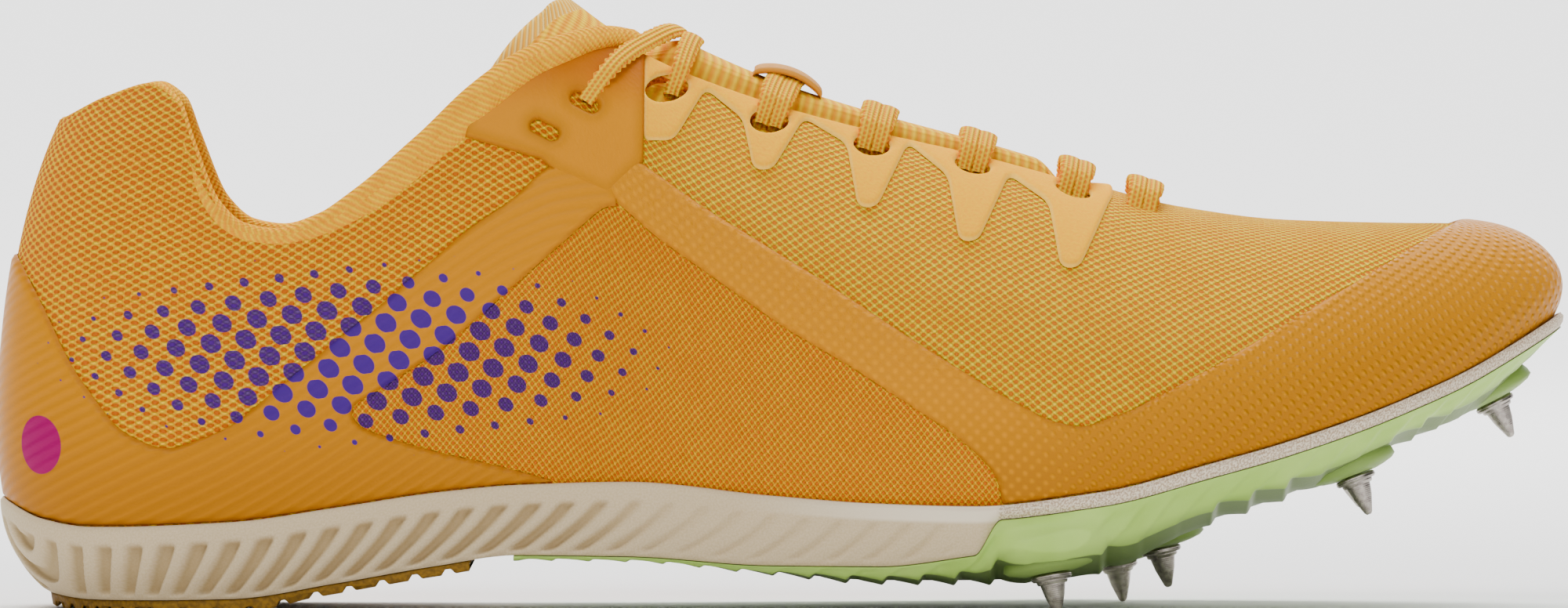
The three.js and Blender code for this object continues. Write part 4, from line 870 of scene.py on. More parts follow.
# Painted highlight: lighter on the tops of the raised dots
tone = tint(tree, tone, dots, 0.3, paint(236, 172, 20))
# Painted shade: darker along the film's rounded edge, where it comes down to the mesh
tone = edge_tone(tree, tone, 0.8, 0.1, 0.3, paint(136, 86, 0))
wire(tree, tone, shader.inputs["Base Color"])
relief(tree, shader, height, depth=0.0004)
toe_film.data.materials.append(toe_look)
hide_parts("toe_guard")


# Lacing wings: thin smooth flaps under the collar roll, bonded along their foot, with two
# slots each for the first turn of the lace
WING = side_outline(
    (0.299, 0.826), (0.347, 0.788), (0.356, 0.764), (0.389, 0.726), (0.4115, 0.782), (0.4115, 1.3),
    (0.299, 1.3),
)
WING_SLOTS = side_outline((0.374, 0.885), (0.349, 0.838))
SLOT_WIDTH = 0.0024
SLOT_LENGTH = 0.0054
SLOT_SLOPE = math.radians(-27)
WING_RUN = (0.084, 0.1185)  # from the heel back along the shoe
WING_FILM = FILM * 1.15
WING_FOOT = 0.4  # as a turn of the last's section


def slot_distance(x, z, centre):
    """Distance outwards from one slot, a short line with round ends."""
    reach = (SLOT_LENGTH - SLOT_WIDTH) / 2
    along = (x - centre[0]) * math.cos(SLOT_SLOPE) + (z - centre[1]) * math.sin(SLOT_SLOPE)
    across = -(x - centre[0]) * math.sin(SLOT_SLOPE) + (z - centre[1]) * math.cos(SLOT_SLOPE)
    return np.hypot(along - np.clip(along, -reach, reach), across) - SLOT_WIDTH / 2


def wing_distance(points):
    x, z = points[..., 0], points[..., 2]
    below_roll = collar_top(x) - 0.6 * roll_height(x) - z
    edges = [outline_distance(WING, x, z), below_roll, throat_distance(points) - THROAT_STRETCH]
    return np.minimum.reduce(edges + [slot_distance(x, z, slot) for slot in WING_SLOTS])


wing_look, tree, shader = new_material("wing_film_look", Roughness=0.42, Specular_IOR_Level=0.06)
place = map_place(tree)
# Painted shade: the wing darkens towards its edges and most on its rounded rim
inside = ramp(tree, field(tree, "edge"), 0.2, 3.0)
tone = blend(tree, inside, paint(170, 121, 0), paint(188, 134, 0))
tone = edge_tone(tree, tone, 0.7, 0.1, 0.4, paint(140, 90, 0))
along, _, up = parts_of(tree, frame_place(tree))
# Painted shadow of the collar roll: the wing is darkened in a band along its top, under the roll
roll_shadow_height = maths(tree, "SUBTRACT", up, maths(tree, "MULTIPLY", along, -0.05))
tone = tint(tree, tone, ramp(tree, roll_shadow_height, 0.088, 0.0985), 0.75, paint(156, 96, 0))
wire(tree, tone, shader.inputs["Base Color"])
relief(tree, shader, grain(tree, place, 1.2, 4), depth=0.0001)

for side, word in ((-1, "lateral"), (1, "medial")):
    run = sorted((side * end for end in WING_RUN), reverse=True)
    wing = raised_panel(
        f"wing_{word}", even_stations(*run, 120), even_turns(WING_FOOT, math.pi / 2, 150),
        wing_distance, WING_FILM,
    )
    wing.data.materials.append(wing_look)
    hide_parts(f"lacing_wing_{word}")


# Eyestays: a suede-like band along each side of the throat with five tabs that point down the
# quarter, and one big oval eyelet punched through each tab
EYESTAY_RUN = (0.1165, 0.2035)
EYESTAY_FOOT = 0.45  # as a turn of the last's section
ABOVE_ALL = 1.3  # a height over the shoe, where an outline is closed

tab_line = []
for left, tip, strip in zip(TABS["left"], TABS["tip"], TABS["strip"]):
    tab_line += [
        (left, tip if left == TABS["left"][0] else strip),
        (left + TAB_SLOPE, tip),
        (left + TAB_FOOT, tip),
        (left + TAB_RUN, strip),
    ]
tab_line += [
    (EYESTAY_END, EYESTAY_FRONT), (EYESTAY_END, ABOVE_ALL), (TABS["left"][0], ABOVE_ALL)
]
EYESTAY = rounded(side_outline(*tab_line), radius=0.0017)


def eyestay_distance(side):
    """The distance inside the band of one side, with its eyelets left out."""

    def distance(points):
        x, z = points[..., 0], points[..., 2]
        edges = [outline_distance(EYESTAY, x, z), throat_distance(points) - THROAT_STRETCH]
        return np.minimum.reduce(edges + [eyelet_distance(points, side)])

    return distance


suede_look, tree, shader = new_material("suede_look", Roughness=0.9, Specular_IOR_Level=0.08)
place = map_place(tree)
nap = grain(tree, place, 1.6, 6)
tone = blend(tree, ramp(tree, nap, 0.3, 0.7), paint(248, 176, 92), paint(255, 188, 108))
tone = edge_tone(tree, tone, 0.55, 0.05, 0.4, paint(255, 226, 160))
wire(tree, tone, shader.inputs["Base Color"])
relief(tree, shader, nap, depth=0.00015)

for side, word in ((-1, "lateral"), (1, "medial")):
    run = sorted((side * end for end in EYESTAY_RUN), reverse=True)
    stay = raised_panel(
        f"suede_band_{word}", even_stations(*run, 260), even_turns(EYESTAY_FOOT, math.pi / 2, 130),
        eyestay_distance(side), FILM,
    )
    stay.data.materials.append(suede_look)
    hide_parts(f"eyestay_{word}")


# Collar lining: a foam-filled knitted roll sewn round the collar from one side of the tongue
# to the other, thickest behind the heel
ROLL_RINGS = 460
ROLL_CORNERS = 28
ROLL_SAMPLES = 1500
ROLL_FRONT = 0.31 * LENGTH  # from here on the roll stands proud of the lacing wing
ROLL_FRONT_FADE = 0.012
ROLL_FRONT_PROUD = 0.0018
ROLL_HEEL_PROUD = -0.0002
ROLL_NOSE = 0.0025  # over which its ends are rounded
ROLL_SQUARENESS = 0.85

dense = np.linspace(-ROLL_LENGTH, ROLL_LENGTH, ROLL_SAMPLES)
dense_arc = arc_along(last_point(dense, turn_at_height(dense, collar_top)))
roll_arc = np.linspace(0, dense_arc[-1], ROLL_RINGS)
roll_t = np.interp(roll_arc, dense_arc, dense)
roll_turn = turn_at_height(roll_t, collar_top)
roll_line = last_point(roll_t, roll_turn)
roll_out = last_normal(roll_t, roll_turn)
roll_along = unit_vectors(np.gradient(roll_line, axis=0))
roll_down = unit_vectors(np.cross(roll_out, roll_along))
half_height = roll_height(roll_line[:, 0]) / 2
half_depth = roll_thickness(roll_line[:, 0]) / 2
roll_end = np.clip(np.minimum(roll_arc, dense_arc[-1] - roll_arc) / ROLL_NOSE, 0.02, 1) ** 0.5
at_front = smooth(roll_line[:, 0], ROLL_FRONT - ROLL_FRONT_FADE, ROLL_FRONT)
past_heel = smooth(roll_line[:, 0], 0.1 * LENGTH, 0.2 * LENGTH)
proud = mix(ROLL_HEEL_PROUD, ROLL_PROUD, past_heel) + ROLL_FRONT_PROUD * at_front
roll_centre = (
    roll_line + roll_down * half_height[:, None] + roll_out * (proud - half_depth)[:, None]
)
around = np.linspace(0, 2 * math.pi, ROLL_CORNERS + 1)
across = np.sign(np.cos(around)) * np.abs(np.cos(around)) ** ROLL_SQUARENESS
drop = np.sign(np.sin(around)) * np.abs(np.sin(around)) ** ROLL_SQUARENESS
roll_points = (
    roll_centre[:, None]
    + roll_out[:, None] * (across * (half_depth * roll_end)[:, None])[..., None]
    + roll_down[:, None] * (drop * (half_height * roll_end)[:, None])[..., None]
)
roll_uv = np.stack(
    [
        np.broadcast_to(roll_arc[:, None], roll_points.shape[:2]),
        around * (half_height + half_depth)[:, None] / 2,
    ],
    -1,
)
collar = make_piece(
    "collar_roll",
    roll_points.reshape(-1, 3),
    grid_faces(ROLL_RINGS, ROLL_CORNERS + 1).tolist(),
    roll_uv.reshape(-1, 2),
)
knit_look, tree, shader = new_material("collar_knit", Roughness=0.85, Specular_IOR_Level=0.08)
place = map_place(tree)
ribs = use_effect(tree, ridges, Place=place, Pitch=1.0, Angle=0.55)["Height"]
cross_ribs = use_effect(tree, ridges, Place=place, Pitch=0.7, Angle=2.3)["Height"]
folds = grain(tree, place, 0.35, 3)
tone = blend(tree, ribs, paint(222, 158, 16), paint(250, 194, 52))
tone = blend(tree, ramp(tree, folds, 0.3, 0.7, end=0.3), tone, paint(196, 120, 6))
wire(tree, tone, shader.inputs["Base Color"])
height = maths(tree, "MULTIPLY_ADD", cross_ribs, 0.45, ribs)
relief(tree, shader, maths(tree, "MULTIPLY_ADD", folds, 2.5, height), depth=0.00022)
collar.data.materials.append(knit_look)
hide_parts("collar_lining")


# Tongue: a thin ribbed knit that lies under the lacing and stands out of the collar, its top
# edge turned over with a sewn binding
TONGUE_THICKNESS = 0.0028
TONGUE_WIDTH = 0.042
TONGUE_TOP = 0.1047
TONGUE_TIP = 0.204
TONGUE_WRAP = 0.0177
TONGUE_DROP = 0.0037
TONGUE_SWELL = 0.002
TONGUE_ROWS = 190
TONGUE_COLUMNS = 64
TONGUE_LIP = 0.0014  # over which its ends are rounded
TONGUE_EASE = 0.008  # from its depth under the roll to its depth under the upper
BINDING = 4.1  # millimetres of sewn binding at the top edge
SIDE_BINDING = 2.5
BINDING_SOFTNESS = 0.1


def tongue_place(across, share):
    """Station, turn and depth of the tongue's face at shares of its width and its length."""
    top = TONGUE_TOP - TONGUE_WRAP * np.abs(across) ** 1.7
    f = mix(top, TONGUE_TIP, share)
    distance = np.abs(across) * TONGUE_WIDTH / 2
    t = np.where(across < 0, -1.0, 1.0) * f
    in_collar = 1 - smooth(f, ROLL_LENGTH, ROLL_LENGTH + TONGUE_EASE)
    under_roll = 0.57 * ROLL_THICKNESS - ROLL_PROUD + 1.5 * GAP
    under = mix(WALL + 2 * GAP, under_roll, in_collar)
    crown = mix(GAP - TONGUE_SWELL, TONGUE_DROP, in_collar)
    middle = 1 - smooth(distance, THROAT_WIDTH * 0.3, THROAT_WIDTH * 0.46)
    in_throat = 1 - smooth(f, THROAT_END - 0.6 * THROAT_WIDTH, THROAT_END - 0.2 * THROAT_WIDTH)
    depth = mix(under, crown, middle * np.maximum(in_throat, in_collar))
    return t, turn_at_distance(t, distance), depth


across = np.sin(np.linspace(-math.pi / 2, math.pi / 2, TONGUE_COLUMNS))
across = np.concatenate([across, -across])
face_side = np.where(np.arange(2 * TONGUE_COLUMNS) < TONGUE_COLUMNS, 1.0, -1.0)
shares = np.linspace(0, 1, TONGUE_ROWS) ** 1.15
across_grid, share_grid = np.meshgrid(across, shares)
tongue_t, tongue_turn, tongue_depth = tongue_place(across_grid, share_grid)
end_gap = np.minimum(share_grid, 1 - share_grid) * (TONGUE_TIP - TONGUE_TOP)
bulge = np.sqrt(np.clip(1 - (1 - np.clip(end_gap / TONGUE_LIP, 0, 1)) ** 2, 0, 1))
bulge *= np.sqrt(np.clip(1 - np.abs(across_grid) ** 10, 0, 1))
tongue_offset = -tongue_depth - TONGUE_THICKNESS / 2 * (1 - face_side * bulge)
tongue_points = offset_point(tongue_t, tongue_turn, tongue_offset)
tongue_uv = np.stack(
    [across_grid * TONGUE_WIDTH / 2, share_grid * (TONGUE_TIP - TONGUE_TOP + TONGUE_WRAP / 3)], -1
)
tongue = make_piece(
    "tongue_knit",
    tongue_points.reshape(-1, 3),
    grid_faces(TONGUE_ROWS, 2 * TONGUE_COLUMNS).tolist(),
    tongue_uv.reshape(-1, 2),
)
tongue_look, tree, shader = new_material("tongue_knit_look", Roughness=0.8, Specular_IOR_Level=0.08)
place = map_place(tree)
across_tongue, from_top, _ = parts_of(tree, place)
ribs = use_effect(tree, ridges, Place=place, Pitch=1.6, Angle=1.15)["Height"]
loops = use_effect(tree, ridges, Place=place, Pitch=0.8, Angle=0.0)["Height"]
tone = blend(tree, ribs, paint(216, 156, 30), paint(255, 204, 84))
away = maths(tree, "ABSOLUTE", across_tongue)
side_edge = TONGUE_WIDTH / 2 * MILLIMETRES - SIDE_BINDING
sides = ramp(tree, away, side_edge - BINDING_SOFTNESS, side_edge + BINDING_SOFTNESS)
top = ramp(tree, from_top, BINDING + BINDING_SOFTNESS, BINDING - BINDING_SOFTNESS)
bound = maths(tree, "MAXIMUM", top, sides)
below = ramp(tree, from_top, 9, 14)
ribs = maths(tree, "MULTIPLY_ADD", ribs, below, maths(tree, "SUBTRACT", 1, below))
stitches = use_effect(tree, ridges, Place=place, Pitch=0.7, Angle=0.8)["Height"]
tone = blend(tree, bound, tone, blend(tree, stitches, paint(244, 180, 108), paint(255, 216, 160)))
wire(tree, tone, shader.inputs["Base Color"])
height = maths(tree, "MULTIPLY_ADD", loops, 0.3, ribs)
relief(tree, shader, add(tree, "Mix", bound, None, height, stitches), depth=0.0003)
tongue.data.materials.append(tongue_look)
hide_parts("tongue")


# Lace keeper: a short strip of woven webbing on the tongue's crown, sewn down at both ends,
# that the second lace row runs under
KEEPER_CENTRE = 0.5 * LENGTH
KEEPER_WIDTH = 0.011
KEEPER_LENGTH = 0.0125
KEEPER_THICKNESS = 0.001
KEEPER_ROWS = 50
KEEPER_COLUMNS = 24
LACE_THICKNESS = 0.0018

share, over = np.meshgrid(
    np.linspace(0, 1, KEEPER_ROWS), np.linspace(-0.5, 0.5, KEEPER_COLUMNS), indexing="ij"
)
keeper_f = KEEPER_CENTRE + (share - 0.5) * KEEPER_LENGTH
keeper_distance = over * KEEPER_WIDTH
keeper_t = np.where(keeper_distance < 0, -1.0, 1.0) * keeper_f
keeper_turn = turn_at_distance(keeper_t, np.abs(keeper_distance))
arch = TONGUE_SWELL - GAP + (2 * GAP + LACE_THICKNESS) * np.sin(math.pi * share) ** 0.6
keeper_top = offset_point(keeper_t, keeper_turn, arch + KEEPER_THICKNESS)
keeper_foot = offset_point(keeper_t, keeper_turn, arch)
keeper_loop = np.concatenate([keeper_top, keeper_foot[:, ::-1], keeper_top[:, :1]], 1)
keeper_uv = np.stack([share * KEEPER_LENGTH, over * KEEPER_WIDTH], -1)
keeper_uv = np.concatenate([keeper_uv, keeper_uv[:, ::-1], keeper_uv[:, :1]], 1)
keeper = make_piece(
    "webbing_keeper",
    keeper_loop.reshape(-1, 3),
    grid_faces(KEEPER_ROWS, 2 * KEEPER_COLUMNS + 1).tolist(),
    keeper_uv.reshape(-1, 2),
)
webbing_look, tree, shader = new_material("webbing_look", Roughness=0.7)
weave = use_effect(tree, ridges, Place=map_place(tree), Pitch=0.7, Angle=math.pi / 2)["Height"]
tone = blend(tree, weave, paint(170, 121, 0), paint(200, 147, 0))
wire(tree, tone, shader.inputs["Base Color"])
relief(tree, shader, weave, depth=0.0002)
keeper.data.materials.append(webbing_look)
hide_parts("lace_keeper")


# Laces: one flat woven lace; each row crosses as two strands side by side that part towards
# the eyelets and dive through them, and the first runs to the slot in the wing
LACE_WIDTH = 0.0037
LACE_PITCH = 0.0026
LACE_RINGS = 90
LACE_CORNERS = 20
SCALLOP = 0.0017
SCALLOP_DEPTH = 0.0005
ROW_SIX_DROP = 0.016
LACE_HUMP = 0.0007
KEPT_HUMP = 0.0002  # the row that is held down by the keeper
OUTER_HUMP = 1.3  # the strand nearer the collar stands higher by this
EYELET_SINK = GAP + FILM + 0.0028
SLOT_SINK = 0.0022
SLOT_HUMP = -0.0008
ROWS = {
    "crest": [0.434, 0.499, 0.56, 0.6225, 0.685, 0.729],
    "hole": [0.426, 0.491, 0.556, 0.62, 0.684, 0.728],
}


def strand(end_f, turn_at, crest_f, sink, hump):
    """Centre line and normals of one strand, from eyelet to eyelet over the crest."""
    share = np.linspace(-1, 1, LACE_RINGS)
    away = np.abs(share)
    side = np.where(share < 0, -1.0, 1.0)
    f = mix(crest_f, end_f, away**1.3)
    end_turn = np.where(share < 0, turn_at(np.array(-end_f)), turn_at(np.array(end_f)))
    turn = mix(math.pi / 2, end_turn, away)
    crest = TONGUE_SWELL + LACE_THICKNESS / 2
    over_film = GAP + FILM + 1.5 * GAP + LACE_THICKNESS / 2
    lift = mix(crest, over_film, smooth(away, 0.15, 0.5)) - sink * smooth(away, 0.76, 1)
    normal = last_normal(side * f, turn)
    lift = lift + hump * np.sin(math.pi * np.clip(away / 0.9, 0, 1)) ** 2
    return last_point(side * f, turn) + normal * lift[:, None], normal


def lace_strand(centre, normal):
    """Points and map of one flat strand with scalloped edges, narrower at its ends."""
    along = unit_vectors(np.gradient(centre, axis=0))
    over = unit_vectors(np.cross(along, normal))
    through = np.cross(over, along)
    arc = arc_along(centre)
    away = np.abs(np.linspace(-1, 1, len(arc)))
    width = LACE_WIDTH * mix(1, 0.8, smooth(away, 0.5, 1))
    width += SCALLOP_DEPTH * np.sin(2 * math.pi * arc / SCALLOP)
    angle = np.linspace(0, 2 * math.pi, LACE_CORNERS + 1)
    flat = np.sign(np.cos(angle)) * np.abs(np.cos(angle)) ** 0.7
    thick = np.sign(np.sin(angle)) * np.abs(np.sin(angle)) ** 0.7 * LACE_THICKNESS * 0.45
    points = (
        centre[:, None]
        + over[:, None] * (flat * width[:, None] / 2)[..., None]
        + through[:, None] * (thick * (1 - 0.25 * flat**2))[None, :, None]
    )
    uv = np.stack([np.broadcast_to(arc[:, None], points.shape[:2]), flat * width[:, None] / 2], -1)
    return points.reshape(-1, 3), uv.reshape(-1, 2)


lace_look, tree, shader = new_material("flat_lace_look", Roughness=0.8, Specular_IOR_Level=0.08)
place = map_place(tree)
cords = use_effect(tree, ridges, Place=place, Pitch=0.95, Angle=math.pi / 2)["Height"]
picks = use_effect(tree, ridges, Place=place, Pitch=SCALLOP / 2 * MILLIMETRES, Angle=0.35)["Height"]
height = maths(tree, "MULTIPLY_ADD", picks, 0.4, cords)
tone = blend(tree, ramp(tree, height, 0.1, 0.75), paint(214, 134, 40), paint(255, 200, 124))
wire(tree, tone, shader.inputs["Base Color"])
relief(tree, shader, height, depth=0.00035)


def into_slot(t):
    return turn_at_height(t, lambda x: WING_SLOTS[0][1] + 0 * x)


strand_faces = grid_faces(LACE_RINGS, LACE_CORNERS + 1)
for i, (crest_share, hole_share) in enumerate(zip(ROWS["crest"], ROWS["hole"])):
    drop_to = ROW_SIX_DROP if i == 5 else THROAT_WIDTH / 2 + EYELET_DROP
    half = LACE_PITCH / 2
    crest_f, hole_f = crest_share * LENGTH, hole_share * LENGTH
    hump = KEPT_HUMP if i == 1 else LACE_HUMP

    def into_eyelet(t):
        return turn_at_distance(t, drop_to)

    right = strand(hole_f + half, into_eyelet, crest_f + half, EYELET_SINK, hump)
    if i == 0:
        left = strand(WING_SLOTS[0][0], into_slot, crest_f - half, SLOT_SINK, SLOT_HUMP)
    else:
        left = strand(
            hole_f - half, into_eyelet, crest_f - half, EYELET_SINK, OUTER_HUMP * hump
        )
    strands = [lace_strand(*left), lace_strand(*right)]
    count = len(strands[0][0])
    lace = make_piece(
        f"lace_{i + 1}",
        np.concatenate([points for points, _ in strands]),
        np.concatenate([strand_faces, strand_faces + count]).tolist(),
        np.concatenate([uv for _, uv in strands]),
    )
    lace.data.materials.append(lace_look)
    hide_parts(f"lace_row_{i + 1}")


# Insole: thin foam with an orange cloth top, cut from sheet and glued in, which fills the
# bottom of the upper and dips a little along its middle
INSOLE_THICKNESS = 0.0035
INSOLE_HEEL = 0.0035
INSOLE_TOE = 0.004
INSOLE_DIP = 0.0012
INSOLE_ROWS = 150
INSOLE_COLUMNS = 40


def turn_at_rise(t, rise):
    f = foot_and_spine(t)[0]
    share = np.clip(rise / (ridge_at(f) - bed_at(f)), 0, 1)
    return np.arcsin(share ** (up_at(f) / 2))


insole_f = even_stations(INSOLE_HEEL, LENGTH - INSOLE_TOE, INSOLE_ROWS)
edge_inset = -WALL - 2 * GAP
left_edge = offset_point(-insole_f, turn_at_rise(-insole_f, INSOLE_THICKNESS), edge_inset)
right_edge = offset_point(insole_f, turn_at_rise(insole_f, INSOLE_THICKNESS), edge_inset)
across = np.linspace(0, 1, INSOLE_COLUMNS)[None, :, None]
insole_top = mix(left_edge[:, None], right_edge[:, None], across)
insole_top[..., 2] -= INSOLE_DIP * (1 - (2 * across[..., 0] - 1) ** 4)
insole_piece = make_piece(
    "insole_foam",
    insole_top.reshape(-1, 3),
    grid_faces(INSOLE_ROWS, INSOLE_COLUMNS).tolist(),
    insole_top[..., :2].reshape(-1, 2),
)
cloth_look, tree, shader = new_material("insole_cloth_look", Roughness=0.9)
weave = use_effect(tree, ridges, Place=map_place(tree), Pitch=0.8, Angle=0.785)["Height"]
tone = blend(tree, weave, paint(190, 112, 16), paint(224, 146, 40))
wire(tree, tone, shader.inputs["Base Color"])
relief(tree, shader, weave, depth=0.0002)
insole_piece.data.materials.append(cloth_look)
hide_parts("insole")


# Midsole: light foam under the whole shoe, a rim round the upper's foot and deep curved flutes
# moulded into its side from the heel to the waist; a thin strip of it runs on to the toe
FOXING = 0.0025
WRAP_END = 0.180
SOLE_FLARE = 0.0086
FLUTE_PITCH = 0.0062
FLUTE_DEPTH = 0.0018
FLUTE_TOP = 0.0036
FLUTE_FOOT = 0.0006
SMILE_PLACE = 0.015  # the flutes curl round a point at the back of the heel
SMILE_DROP = 0.003
FLUTE_END = 0.126
FLUTE_LEAN = 0.45
FLUTE_EDGE = 2.8  # how steep the walls of a flute are
FLUTE_LIP = 0.0006  # over which a flute's top fades in
FLUTE_NARROWING = 0.03
FLUTE_SHALLOWING = 0.55
RIM_ROUND = ((0.0042, -0.0011), (0.0024, -0.0001), (0.0012, 0.0001))  # inset and height
FOOT_ROUND = (0.0012, 0.0024)
RIM_LIP = 0.0005
RIM_LIP_HEIGHT = 0.0009
FOOT_LIP = 0.0004
FOOT_LIP_HEIGHT = 0.0008
SEAT_DEPTH = 0.001
SEAT_INSET = 0.0048
FOOT_INSET = 0.0005
SOLE_SAMPLES = 6000
RING_POINTS = 1500
SIDE_ROWS = 42
foam_edge_at = sole_line("foam")
tread_at = sole_line("tread")
flare_at = curve(SOLE, "flare", SOLE_FLARE)


def foam_low(x):
    in_front = smooth(x, WRAP_END - 0.003, WRAP_END + 0.002)
    return mix(foam_edge_at(x), rim_at(x) - FOXING, in_front)


def sole_point(t, inset, height_at):
    """A point at an inset from the outline, at the height that the sole has there."""
    f, side, foot, spine = foot_and_spine(t)
    inward = spine - foot
    length = np.maximum(np.linalg.norm(inward, axis=-1), 1e-9)
    flat = foot + inward * np.clip(inset / length, 0, 1)[..., None]
    return np.concatenate([flat, height_at(flat[..., 0])[..., None]], -1)


def ring_stations(start, end, count):
    """Stations from the lateral side round to the medial one, evenly along the outline."""
    fine = np.linspace(start, end, SOLE_SAMPLES)
    arc = arc_along(foot_and_spine(fine)[2])
    even = np.linspace(0, arc[-1], count)
    return np.interp(even, arc, fine), even


def outline_length(stations):
    """Length along the outline from the heel back, the same on both sides."""
    f = foot_and_spine(stations)[0]
    fine = np.linspace(0, 1, SOLE_SAMPLES) ** 2 * LENGTH
    return np.interp(f, fine, arc_along(foot_and_spine(fine)[2]))


def flat_uv(row):
    return row[:, :2]


def sole_piece(name, rows, uv_rows, values):
    """A closed solid from rows of rings that end on the centre line at both ends."""
    points = np.stack(rows, 1)
    return make_piece(
        name, points.reshape(-1, 3), grid_faces(*points.shape[:2]).tolist(),
        np.stack(uv_rows, 1).reshape(-1, 2), values,
    )


ring, ring_arc = ring_stations(0, -2 * LENGTH, RING_POINTS)
ring_f = foot_and_spine(ring)[0]
ring_far = outline_length(ring)
whole = rim_at(ring_f) - foam_low(ring_f)


def side_place(depth, extra):
    """A point of the foam's side, from the rim at 0 to its lower edge at 1."""
    inset = flare_at(ring_f) * depth**2.2 + extra
    return sole_point(ring, inset, lambda x: mix(rim_at(x), foam_low(x), depth))


def flute_depth(drop):
    """How deep the flutes cut in, at a drop below the rim: each one sweeps back as it falls."""
    past = ring_far - SMILE_PLACE
    lean = FLUTE_LEAN * smooth(ring_far, 0.03, FLUTE_END)
    swept = past + lean * drop + mix(38, 50, smooth(ring_far, 0.03, 0.09)) * drop**2
    smile = np.hypot(past, 1.15 * (drop - SMILE_DROP))
    phase = mix(smile, swept, smooth(ring_far, 0.02, 0.055)) / FLUTE_PITCH
    narrow = smooth(ring_f, FLUTE_END - FLUTE_NARROWING, FLUTE_END)
    wave = 0.5 - 0.5 * np.tanh(FLUTE_EDGE * (np.cos(2 * math.pi * phase) + 0.1 + 0.65 * narrow))
    top = smooth(drop, FLUTE_TOP - FLUTE_LIP, FLUTE_TOP + FLUTE_LIP)
    foot = 1 - smooth(drop, whole - FLUTE_FOOT - 0.0012, whole - FLUTE_FOOT * 0.6)
    fade = 1 - FLUTE_SHALLOWING * narrow
    fade *= 1 - smooth(ring_f, WRAP_END - 0.012, WRAP_END - 0.004)
    return FLUTE_DEPTH * fade * wave * top * foot


side_rows = []
side_uv = []
side_flutes = []
for depth in np.linspace(0, 1, SIDE_ROWS):
    drop = whole * depth
    lip = RIM_LIP * (1 - smooth(drop, 0, RIM_LIP_HEIGHT))
    lip = lip + FOOT_LIP * smooth(drop, whole - FOOT_LIP_HEIGHT, whole)
    side_flutes.append(flute_depth(drop))
    side_rows.append(side_place(depth, side_flutes[-1] + lip))
    side_uv.append(np.stack([ring_arc, -drop], -1))


def foam_seat(x):
    return np.minimum(bed_at(x), rim_at(x)) - SEAT_DEPTH


def foam_under(x):
    return np.minimum(foam_low(x), foam_edge_at(x))


to_spine = np.ones(len(ring))
top_rows = [
    sole_point(ring, to_spine, foam_seat),
    sole_point(ring, SEAT_INSET + 0 * ring_f, foam_seat),
] + [
    sole_point(ring, inset + 0 * ring_f, lambda x: rim_at(x) + height)
    for inset, height in RIM_ROUND
]
foot_inset = flare_at(ring_f) + FOOT_INSET
foot_rows = [
    sole_point(ring, foot_inset + FOOT_ROUND[0], foam_low),
    sole_point(ring, foot_inset + FOOT_ROUND[1], foam_under),
    sole_point(ring, to_spine, foam_under),
]
flutes = np.stack([0 * ring_f] * len(top_rows) + side_flutes + [0 * ring_f] * len(foot_rows), 1)
foam_body = sole_piece(
    "foam_body",
    top_rows + side_rows + foot_rows,
    [flat_uv(row) for row in top_rows] + side_uv + [flat_uv(row) for row in foot_rows],
    {"flute": flutes.ravel() / FLUTE_DEPTH},
)
foam_look, tree, shader = new_material("foam_look", Roughness=0.62, Specular_IOR_Level=0.35)
place = map_place(tree)
along, _, up = parts_of(tree, frame_place(tree))
_, drop, _ = parts_of(tree, place)
speckle = grain(tree, place, 2.6, 6)
tone = blend(tree, ramp(tree, speckle, 0.35, 0.65), paint(195, 180, 154), paint(204, 190, 166))
# Painted shade: the foam is darker down in the flutes, by their depth
flute_painted_shade = ramp(tree, field(tree, "flute"), 0.1, 1.0, 0.0, 0.55)
tone = blend(tree, flute_painted_shade, tone, paint(150, 130, 98))
rim = ramp(tree, drop, -3.3, -2.4)
light_rim = maths(tree, "MULTIPLY", rim, ramp(tree, along, -0.012, 0.03))
tone = blend(tree, light_rim, tone, paint(232, 222, 204))
strip = ramp(tree, along, 0.0385, 0.0395)
grit = blend(tree, ramp(tree, speckle, 0.42, 0.58), paint(176, 158, 140), paint(226, 216, 200))
tone = blend(tree, strip, tone, grit)
wire(tree, tone, shader.inputs["Base Color"])
relief(tree, shader, speckle, depth=0.00003)
foam_body.data.materials.append(foam_look)
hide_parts("midsole")


# Spike plate: stiff moulded plate under the waist and the forefoot; its side is a row of
# leaning leaves that end in a toothed lower edge, and a boss stands out round each spike
PLATE_START = 0.094
PLATE_RIM = 0.0022
PLATE_THICKNESS = 0.0018
PLATE_FLARE = 0.005
PLATE_CROWN = 0.0045
CROWN_SHARE = 0.47
TOOTH_PITCH = 0.0067
TOOTH_DEPTH = 0.0015
NOTCH_SHARE = 0.2
LEAF_DEPTH = 0.0008
LEAF_LEAN = 1.15
BULGE_PLACE = 0.1905
BULGE_REACH = 0.0095
BULGE_DEPTH = 0.0046
PLATE_POINTS = 1300
PLATE_ROWS = 30
PLATE_INSET = 0.0002
PLATE_LIP = 0.0004
PLATE_ROUND = 0.0012
EDGE_ROWS = (0.04, 0.1, 0.2, 0.4, 0.7, 1.0)  # underneath, from the lower edge to the crown
CROWN_ROWS = (0.35, 0.7, 1.0)  # and on to the middle line


def plate_top(x):
    return foam_low(x) - GAP / 2


def plate_rise(x):
    return np.minimum((plate_top(x) - tread_at(x)) / 3, PLATE_CROWN)


